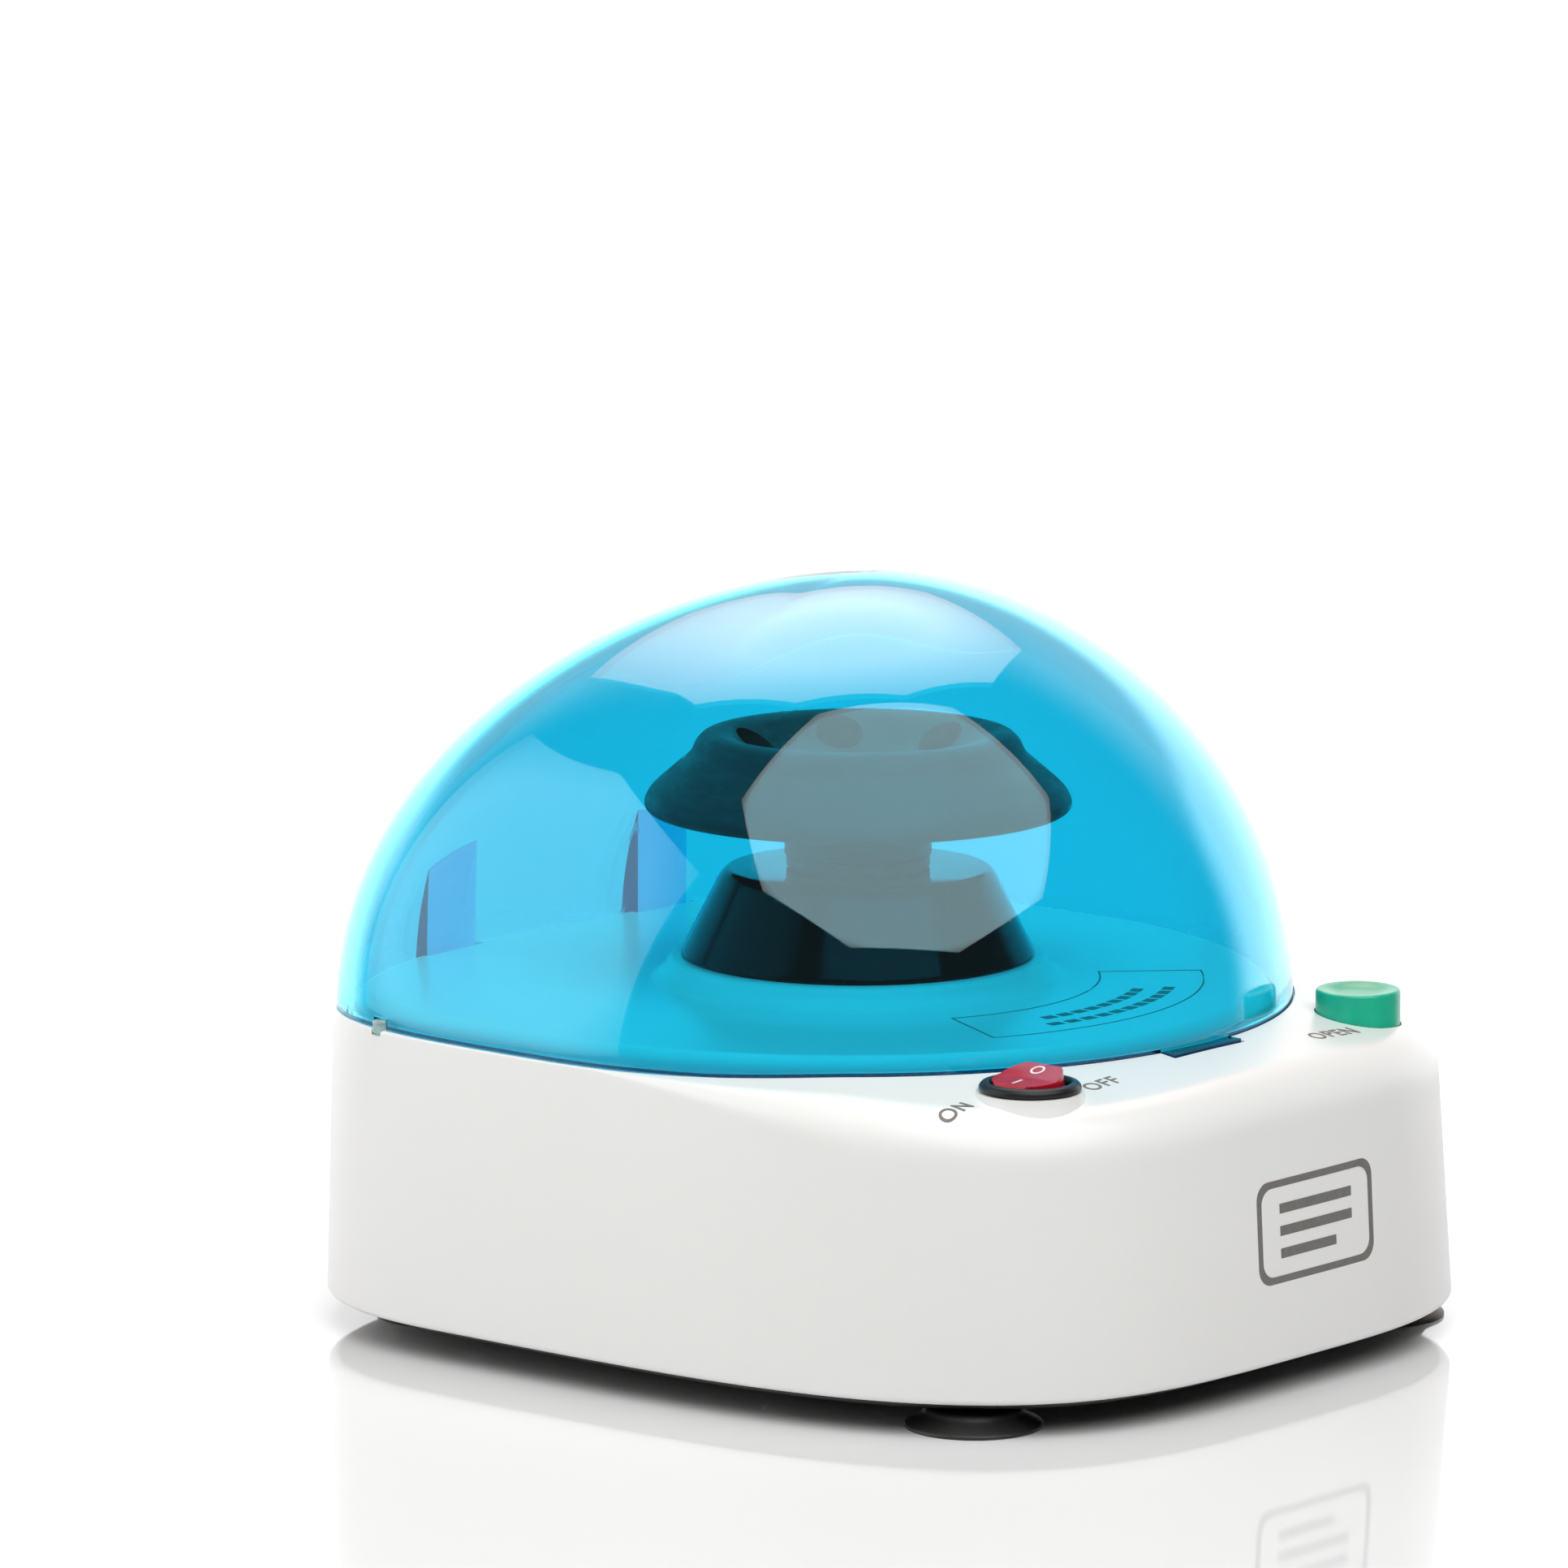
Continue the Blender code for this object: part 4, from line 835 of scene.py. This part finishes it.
def make_rotor():
    """Fixed-angle rotor: bowl, rolled crest, conical skirt and sloping tube holes."""
    outside = [(SHAFT_BORE, 0.1241), (0.0110, 0.1243), (0.0165, 0.1254), (0.0225, 0.1280),
               (0.0270, 0.1315), (0.0297, 0.1336), (0.0325, 0.1343), (0.0350, 0.1338),
               (0.0370, 0.1318), (0.0379, 0.1292), (0.0413, 0.1263), (0.0453, 0.1229),
               (0.0476, 0.1206), (0.0486, 0.1184), (0.0484, 0.1169), (0.0472, 0.1160),
               (0.0446, 0.1160), (0.0418, 0.1192), (0.0205, 0.1196), (0.0180, ROTOR_Z),
               (SHAFT_BORE, ROTOR_Z)]
    rotor = turned("rotor_body", rounded(outside, 0.0020, 3), "matte_black", (0.0, ROTOR_Y), 192)
    holes = []
    for i in range(TUBE_COUNT):
        angle = FIRST_TUBE + math.tau * i / TUBE_COUNT
        out = Vector((math.cos(angle), math.sin(angle), -1.0)).normalized()
        mouth = Vector(at(0.025, angle, 0.1295))
        holes.append(rod("tube_hole", mouth - out * 0.010, mouth + out * 0.030, 0.0055,
                         sides=48))
    combine(rotor, "DIFFERENCE", holes)
    return settle(rotor, "spinning_rotor", "matte_black", "rotor")


# ---- controls
def make_switch():
    """Round bezel with a soft outer edge, and the tilted rocker with its marks."""
    low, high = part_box("power_switch_body")
    seat = high.z - 0.0020
    radius = (high.x - low.x) / 2
    profile = [(0.0, 0.0520), (0.0098, 0.0520), (0.0098, seat), (radius, seat),
               (radius, seat + 0.0010), (radius - 0.0007, seat + 0.0018),
               (0.0092, seat + 0.0020), (0.0088, seat + 0.0012), (0.0088, 0.0620),
               (0.0, 0.0620)]
    bezel = turned("switch_bezel", rounded(profile, 0.0004, 4), "black_bezel",
                   (SWITCH.x, SWITCH.y))
    for step in (-1, 1):
        tab = block("tab", (SWITCH.x + step * 0.0045 - 0.0004, SWITCH.y - 0.0024, 0.0445),
                    (SWITCH.x + step * 0.0045 + 0.0004, SWITCH.y + 0.0024, 0.0530))
        combine(bezel, "UNION", [tab])
    settle(bezel, "housing", "black_bezel", "power_switch_body")
    make_rocker()


ROCKER_PIVOT = Vector((SWITCH.x, SWITCH.y, 0.0719))
ROCKER_TILT = math.radians(12)
ROCKER_REACH = 0.0079           # from the pivot to the tips of the V
ROCKER_TIP = 38                 # direction of a tip, in degrees
ROCKER_WAIST = 0.0040           # height of the middle of the V over the pivot
ROCKER_HALF_WIDTH = 0.0078
MARK_PLACE = 0.0036             # of each mark, from the middle of the V


def rocker_outline():
    """Half disc whose flat top is a shallow V.  It is the rocker's side view."""
    points = [(0.0, ROCKER_WAIST)]
    points += [polar(ROCKER_REACH, turn) for turn in range(ROCKER_TIP, -35, -6)]
    return points + [(-a, b) for a, b in reversed(points[1:])]


def rocker_place(piece):
    piece.data.transform(Matrix.Rotation(-ROCKER_TILT, 4, "Y"))
    piece.data.transform(Matrix.Translation(ROCKER_PIVOT))


def make_rocker():
    rings = [[(a, y, b) for a, b in rocker_outline()]
             for y in (-ROCKER_HALF_WIDTH, ROCKER_HALF_WIDTH)]
    rocker = loft("rocker_cap", rings, "red_rocker")
    trim = rod("trim", (0, 0, -0.02), (0, 0, 0.02), ROCKER_HALF_WIDTH, sides=96)
    combine(rocker, "INTERSECT", [trim])
    soften(rocker, 0.0008, 4)
    rocker_place(rocker)
    settle(rocker, "rocker", "red_rocker", "power_rocker")
    tip_x, tip_z = polar(ROCKER_REACH, ROCKER_TIP)
    slope = math.atan2(tip_z - ROCKER_WAIST, tip_x)
    height = ROCKER_WAIST + MARK_PLACE * math.tan(slope) + 0.00003
    for side, mark in ((-1, flat_bar("on_bar", 0.0034, 0.0006)),
                       (1, flat_ring("off_ring", 0.0012, 0.0017))):
        lift = Matrix.Translation((side * MARK_PLACE, 0.0, height))
        mark.data.transform(lift @ Matrix.Rotation(-side * slope, 4, "Y"))
        rocker_place(mark)
        repaint(mark, WHITE_INK)
        settle(mark, "rocker", "red_rocker")


def soften(piece, width, segments):
    """Bevels the sharp edges of a piece and keeps the result."""
    modifier = piece.modifiers.new("soften", "BEVEL")
    modifier.width = width
    modifier.segments = segments
    modifier.limit_method = "ANGLE"
    modifier.angle_limit = math.radians(35)
    piece.data = applied_mesh(piece)
    piece.modifiers.clear()
    piece.data.shade_smooth()


def make_button():
    """Dished cap with a soft rim, on the stem whose wedge works the latch."""
    low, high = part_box("open_button")
    top = high.z
    radius = 0.0096
    profile = [(0.0, low.z), (0.0030, low.z), (0.0060, low.z + 0.0030),
               (0.0060, low.z + 0.0040), (0.0030, low.z + 0.0050), (0.0030, 0.0612),
               (0.0106, 0.0612), (0.0106, 0.0628), (radius, 0.0628),
               (radius, top), (radius - 0.0024, top - 0.0002), (0.0045, top - 0.0010),
               (0.0, top - 0.0011)]
    cap = turned("button_cap", rounded(profile, 0.0009, 5), "green_button",
                 (BUTTON.x, BUTTON.y))
    settle(cap, "button", "green_button", "open_button")
    make_button_spring()


def make_button_spring():
    """A compression spring: open coils between closed ends."""
    low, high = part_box("button_spring")
    wire = SPRING_WIRE
    radius = (high.x - low.x) / 2 - wire
    steps = SPRING_TURNS * 24
    rings = []
    for i in range(steps + 1):
        share = i / steps
        climb = min(max((share - 0.16) / 0.68, 0.0), 1.0)
        angle = math.tau * SPRING_TURNS * share
        out = Vector((math.cos(angle), math.sin(angle), 0.0))
        height = low.z + wire * (1.0 + share) + (high.z - low.z - 3.5 * wire) * climb
        heart = Vector((BUTTON.x, BUTTON.y, height)) + out * radius
        rings.append([])
        for k in range(10):
            turn = math.tau * k / 10
            round_wire = math.cos(turn) * out + Vector((0, 0, math.sin(turn)))
            rings[-1].append(heart + wire * round_wire)
    spring = loft("button_coil", rings, "steel")
    settle(spring, "housing", "steel", "button_spring")
    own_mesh(spring)


# ---- printed marks
PRINT_PROUD = 0.00006
PRINT_DEPTH = 0.0001


def strip_profile(inner, outer):
    """A print's cross section, with its top at z = 0 and a little depth under it."""
    return [(inner, -PRINT_DEPTH), (outer, -PRINT_DEPTH), (outer, 0.0), (inner, 0.0)]


def flat_ring(name, inner, outer):
    return turned(name, strip_profile(inner, outer), None, steps=48)


def flat_bar(name, length, width):
    return block(name, (-length / 2, -width / 2, -PRINT_DEPTH), (length / 2, width / 2, 0.0))


def print_on(piece, height):
    """Moves each point of a flat print onto the surface under it."""
    for vert in piece.data.vertices:
        x, y, z = vert.co
        vert.co = (x, y, z + height(x, y) + PRINT_PROUD)
    repaint(piece, GREY_INK)


def words(name, text, size):
    """Lettering as a thin mesh, centred on its own middle."""
    curve = bpy.data.curves.new(name, "FONT")
    curve.body = text
    curve.size = size
    curve.align_x = curve.align_y = "CENTER"
    curve.extrude = PRINT_DEPTH / 2
    curve.space_character = 1.12
    curve.offset = 0.00006
    curve.resolution_u = 4
    shape = add_object(name + "_shape", curve)
    mesh = applied_mesh(shape)
    bpy.data.objects.remove(shape, do_unlink=True)
    return add_object(name, mesh)


CONTROL_WORDS = (               # name, word, place on the deck and size
    ("word_on", "ON", -0.0777, -0.0808, 0.0056),
    ("word_off", "OFF", -0.0405, -0.0916, 0.0058),
    ("word_open", "OPEN", 0.0390, -0.0945, 0.0058),
)


def make_switch_words():
    for name, text, x, y, size in CONTROL_WORDS:
        piece = words(name, text, size)
        piece.data.transform(Matrix.Translation((x, y, 0.0)))
        print_on(piece, front_deck_height)
        settle(piece, "housing", "white_housing")


def arc_strip(name, inner, outer, start, end, steps=48):
    """A flat strip round the rotor's axis, between two radii and two directions."""
    profile = strip_profile(inner, outer)
    angles = [math.radians(start + (end - start) * i / steps) for i in range(steps + 1)]
    return loft(name, [[at(radius, angle, z) for radius, z in profile] for angle in angles])


def make_deck_label():
    """A plain curved frame with two rows of bars where a notice would be."""
    inner, outer, line = 0.0550, 0.0790, 0.0004
    start, end = -118.0, -45.0
    strips = [arc_strip("label", inner, inner + line, start, end),
              arc_strip("label", outer - line, outer, start, end),
              arc_strip("label", inner, outer, start, start + 0.35, 2),
              arc_strip("label", inner, outer, end - 0.35, end, 2)]
    for radius, first, last, bars in ((0.0640, -101, -63, 9), (0.0705, -104, -60, 11)):
        width = (last - first) / bars
        for i in range(bars):
            a = first + width * i
            strips.append(arc_strip("label", radius, radius + 0.0026, a, a + 0.72 * width, 6))
    label = join("deck_label", strips)
    print_on(label, lambda x, y: DECK_Z)
    settle(label, "housing", "white_housing")


def join(name, parts):
    """One object from several closed meshes."""
    bm = bmesh.new()
    for part in parts:
        bm.from_mesh(part.data)
        bpy.data.objects.remove(part, do_unlink=True)
    return new_piece(name, bm)


BADGE_X, BADGE_Z = 0.0062, 0.0370
BADGE_HALF_WIDTH, BADGE_HALF_HEIGHT = 0.0210, 0.0115
BADGE_CORNER = 0.0040
BADGE_LINE = 0.0016
BAR_START, BAR_HALF_HEIGHT = 0.0130, 0.0011
BADGE_BARS = ((0.0050, 0.0130), (0.0, 0.0130), (-0.0050, 0.0070))   # height and right end


def badge_outline():
    """A rounded rectangle, with points along its sides so that it can follow the wall."""
    points = []
    for sx, sy, first in ((1, 1, 0), (-1, 1, 90), (-1, -1, 180), (1, -1, 270)):
        for turn in range(first, first + 91, 10):
            x, y = polar(BADGE_CORNER, turn)
            points.append((sx * (BADGE_HALF_WIDTH - BADGE_CORNER) + x,
                           sy * (BADGE_HALF_HEIGHT - BADGE_CORNER) + y))
    dense = []
    for a, b in zip(points, points[1:] + points[:1]):
        count = max(1, round(math.dist(a, b) / 0.003))
        for i in range(count):
            t = i / count
            dense.append((a[0] + (b[0] - a[0]) * t, a[1] + (b[1] - a[1]) * t))
    return dense


def on_wall(points, proud):
    return [wall_point(BADGE_X + x, BADGE_Z + z, proud) for x, z in points]


def make_front_badge():
    """A plain badge on the front wall: a rounded frame round three short bars."""
    outer = badge_outline()
    shrink_x = (BADGE_HALF_WIDTH - BADGE_LINE) / BADGE_HALF_WIDTH
    shrink_z = (BADGE_HALF_HEIGHT - BADGE_LINE) / BADGE_HALF_HEIGHT
    inner = [(x * shrink_x, z * shrink_z) for x, z in outer]
    rings = [on_wall(inner, -PRINT_DEPTH), on_wall(outer, -PRINT_DEPTH),
             on_wall(outer, PRINT_PROUD), on_wall(inner, PRINT_PROUD)]
    parts = [loft("badge", rings, closed=True)]
    steps = 10
    for row, reach in BADGE_BARS:
        xs = [-BAR_START + (BAR_START + reach) * i / steps for i in range(steps + 1)]
        bar = [(x, row - BAR_HALF_HEIGHT) for x in xs]
        bar += [(x, row + BAR_HALF_HEIGHT) for x in reversed(xs)]
        parts.append(loft("badge", [on_wall(bar, -PRINT_DEPTH), on_wall(bar, PRINT_PROUD)]))
    badge = join("front_badge", parts)
    repaint(badge, GREY_INK)
    settle(badge, "housing", "white_housing")


# ---- inlet
def make_inlet():
    back_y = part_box("dc_inlet")[1].y
    profile = [(0.0, -0.0140), (0.0050, -0.0140), (0.0050, -0.0008), (0.0072, -0.0008),
               (0.0072, -0.0003), (0.0066, 0.0), (0.0030, 0.0), (0.0028, -0.0004),
               (0.0028, -0.0090), (0.0010, -0.0090), (0.0010, -0.0016), (0.0, -0.0012)]
    inlet = turned("power_inlet", profile, "black_bezel", steps=72)
    inlet.data.transform(Matrix.Rotation(-math.pi / 2, 4, "X"))
    inlet.data.transform(Matrix.Translation((0.0, back_y, middle("dc_inlet").z)))
    settle(inlet, "housing", "black_bezel", "dc_inlet")


# ---- CAD nodes that stay
def dress_cad_nodes():
    """Gives every CAD node that still shows the full look of its material slot."""
    slots = {part["node"]: part["material_slot"] for part in frame["record"]["subparts"]}
    for node, piece in frame["nodes"].items():
        repaint(piece, MATERIALS[slots[node]])


# ---- studio
STUDIO_DIM = 0.08
BACKDROP = 1.8
BACKDROP_EDGE = 0.70            # cosine of half the backdrop's width
HAZE = 0.9                      # glow above the backdrop, seen in reflections only
HAZE_COLOR = (1.0, 0.78, 0.70, 1.0)
WHITE = (1.0, 1.0, 1.0, 1.0)
BACKDROP_AZIMUTH = 130
BACKDROP_TOP = (0.22, 0.46)     # height of a direction, from bright to dim
SEEN_WHITE = 1.1                # what the camera sees, past the object or through the lid
FLOOR_FADE = (0.30, 0.75)       # distances between which the table top fades out


def compass(azimuth, elevation):
    """Unit vector towards a place.  Azimuth 0 is the front, and 90 the right side."""
    a, e = math.radians(azimuth), math.radians(elevation)
    return Vector((math.sin(a) * math.cos(e), -math.cos(a) * math.cos(e), math.sin(e)))


def softbox(name, azimuth, elevation, distance, outline, strength, edge_color, solid,
            color=(1.0, 1.0, 1.0)):
    """A flat lamp that faces the chamber and is seen only in reflections.

    Its light is even in the middle, and turns to the edge colour towards its corners.
    """
    nodes = Nodes(bpy.data.materials.new(name))
    reach = max(math.hypot(x, y) for x, y in outline)
    fade = nodes.fade(nodes.distance(), solid * reach, reach, kind="LINEAR")
    tone = nodes.ramp(fade, [(0.0, color), (1.0, edge_color)])
    nodes.end(nodes.add("Emission", {0: tone, 1: strength}).outputs[0])
    bm = bmesh.new()
    bm.faces.new([bm.verts.new((x, y, 0.0)) for x, y in outline])
    panel = add_object(name, take_mesh(name, bm))
    panel.data.materials.append(nodes.owner)
    towards = compass(azimuth, elevation)
    panel.location = CHAMBER + towards * distance
    aim_at(panel, -towards)
    panel.visible_camera = False
    return panel


def aim_at(thing, direction):
    """Turns a lamp or a camera so that it faces in a direction."""
    thing.rotation_mode = "QUATERNION"
    thing.rotation_quaternion = direction.to_track_quat("-Z", "Y")


def polygon(sides, radius, turn):
    return [polar(radius, turn + 360 * i / sides) for i in range(sides)]


def rectangle(width, height):
    return [(-width / 2, -height / 2), (width / 2, -height / 2),
            (width / 2, height / 2), (-width / 2, height / 2)]


CHAMBER = Vector((0.0, ROTOR_Y, 0.12))


def make_lamps():
    softbox("front_octagon", -27, 57, 1.0, polygon(8, 0.76, 10), 2.9,
            (0.62, 0.46, 0.38), 0.93)
    glow = softbox("rear_window", 134, 57, 1.2, polygon(8, 0.63, 22), 5.0,
                   (0.45, 0.26, 0.21), 0.5, (1.0, 0.60, 0.50))
    glow.visible_diffuse = False
    softbox("left_panel", -136, 18, 1.2, rectangle(1.5, 1.3), 1.7, (0.3, 0.3, 0.3), 0.6)


def make_floor():
    """A white acrylic table top that fades out at its edge into the backdrop."""
    nodes, shader = varied("white_acrylic", (0.86, 0.86, 0.86), 0.04,
                           wear=((3, 3), (0.3, 0.03), (0.7, 0.06)), Specular_IOR_Level=0.6)
    clear = nodes.add("BsdfTransparent").outputs[0]
    nodes.end(nodes.mix(nodes.fade(nodes.distance(), *FLOOR_FADE), shader.outputs[0], clear))
    bm = bmesh.new()
    bmesh.ops.create_circle(bm, cap_ends=True, radius=0.95, segments=96)
    floor = add_object("table_top", take_mesh("table_top", bm))
    floor.data.materials.append(nodes.owner)


def make_world():
    """White to the camera.  To everything else it is a dim studio with a bright backdrop."""
    world = bpy.data.worlds.new("studio")
    bpy.context.scene.world = world
    nodes = Nodes(world, "OutputWorld")

    def light(strength, color=WHITE):
        return nodes.add("Background", {0: color, 1: strength}).outputs[0]

    direction = nodes.spots["Generated"]
    facing = nodes.add("VectorMath", {0: direction, 1: compass(BACKDROP_AZIMUTH, 0)},
                       operation="DOT_PRODUCT").outputs["Value"]
    height = nodes.add("SeparateXYZ", {0: direction}).outputs["Z"]
    behind = nodes.fade(facing, BACKDROP_EDGE - 0.3, BACKDROP_EDGE)
    low_down = nodes.fade(height, *BACKDROP_TOP, 1.0, 0.0)
    backdrop = nodes.calculate("MULTIPLY", behind, low_down)
    studio = light(nodes.fade(backdrop, 0.0, 1.0, STUDIO_DIM, BACKDROP))

    # only reflected rays meet the haze, and only rays straight through the lid see white
    overhead = nodes.calculate("SUBTRACT", behind, backdrop)
    haze = light(nodes.calculate("MULTIPLY", overhead, HAZE), HAZE_COLOR)
    hazy_studio = nodes.add("AddShader", {0: studio, 1: haze}).outputs[0]
    path = nodes.add("LightPath").outputs
    unreflected = nodes.calculate("LESS_THAN", path["Glossy Depth"], 0.5)
    straight = nodes.calculate("MULTIPLY", path["Is Transmission Ray"], unreflected)
    surroundings = nodes.mix(unreflected, hazy_studio, studio)
    seen_through = nodes.mix(straight, surroundings, light(SEEN_WHITE))
    nodes.end(nodes.mix(path["Is Camera Ray"], seen_through, light(SEEN_WHITE)))


CAMERA_AIM = Vector((-0.0059, 0.0293, 0.1208))
CAMERA_AZIMUTH, CAMERA_ELEVATION = -49.592, 9.794
CAMERA_DISTANCE = 2.405
CAMERA_LENS = 242.2


def make_camera():
    data = bpy.data.cameras.new("camera")
    data.sensor_width = 36.0
    data.lens = CAMERA_LENS
    data.clip_end = 20.0
    camera = add_object("camera", data)
    back = compass(CAMERA_AZIMUTH, CAMERA_ELEVATION)
    camera.location = CAMERA_AIM + back * CAMERA_DISTANCE
    aim_at(camera, -back)
    bpy.context.scene.camera = camera


make_camera()
make_world()
make_lamps()
make_floor()
make_housing()
make_pan()
make_feet()
make_lid()
make_bumpers()
make_motor_cover()
make_rotor_group()
make_switch()
make_button()
make_switch_words()
make_deck_label()
make_front_badge()
make_inlet()
dress_cad_nodes()
bpy.context.scene.view_settings.view_transform = "Standard"
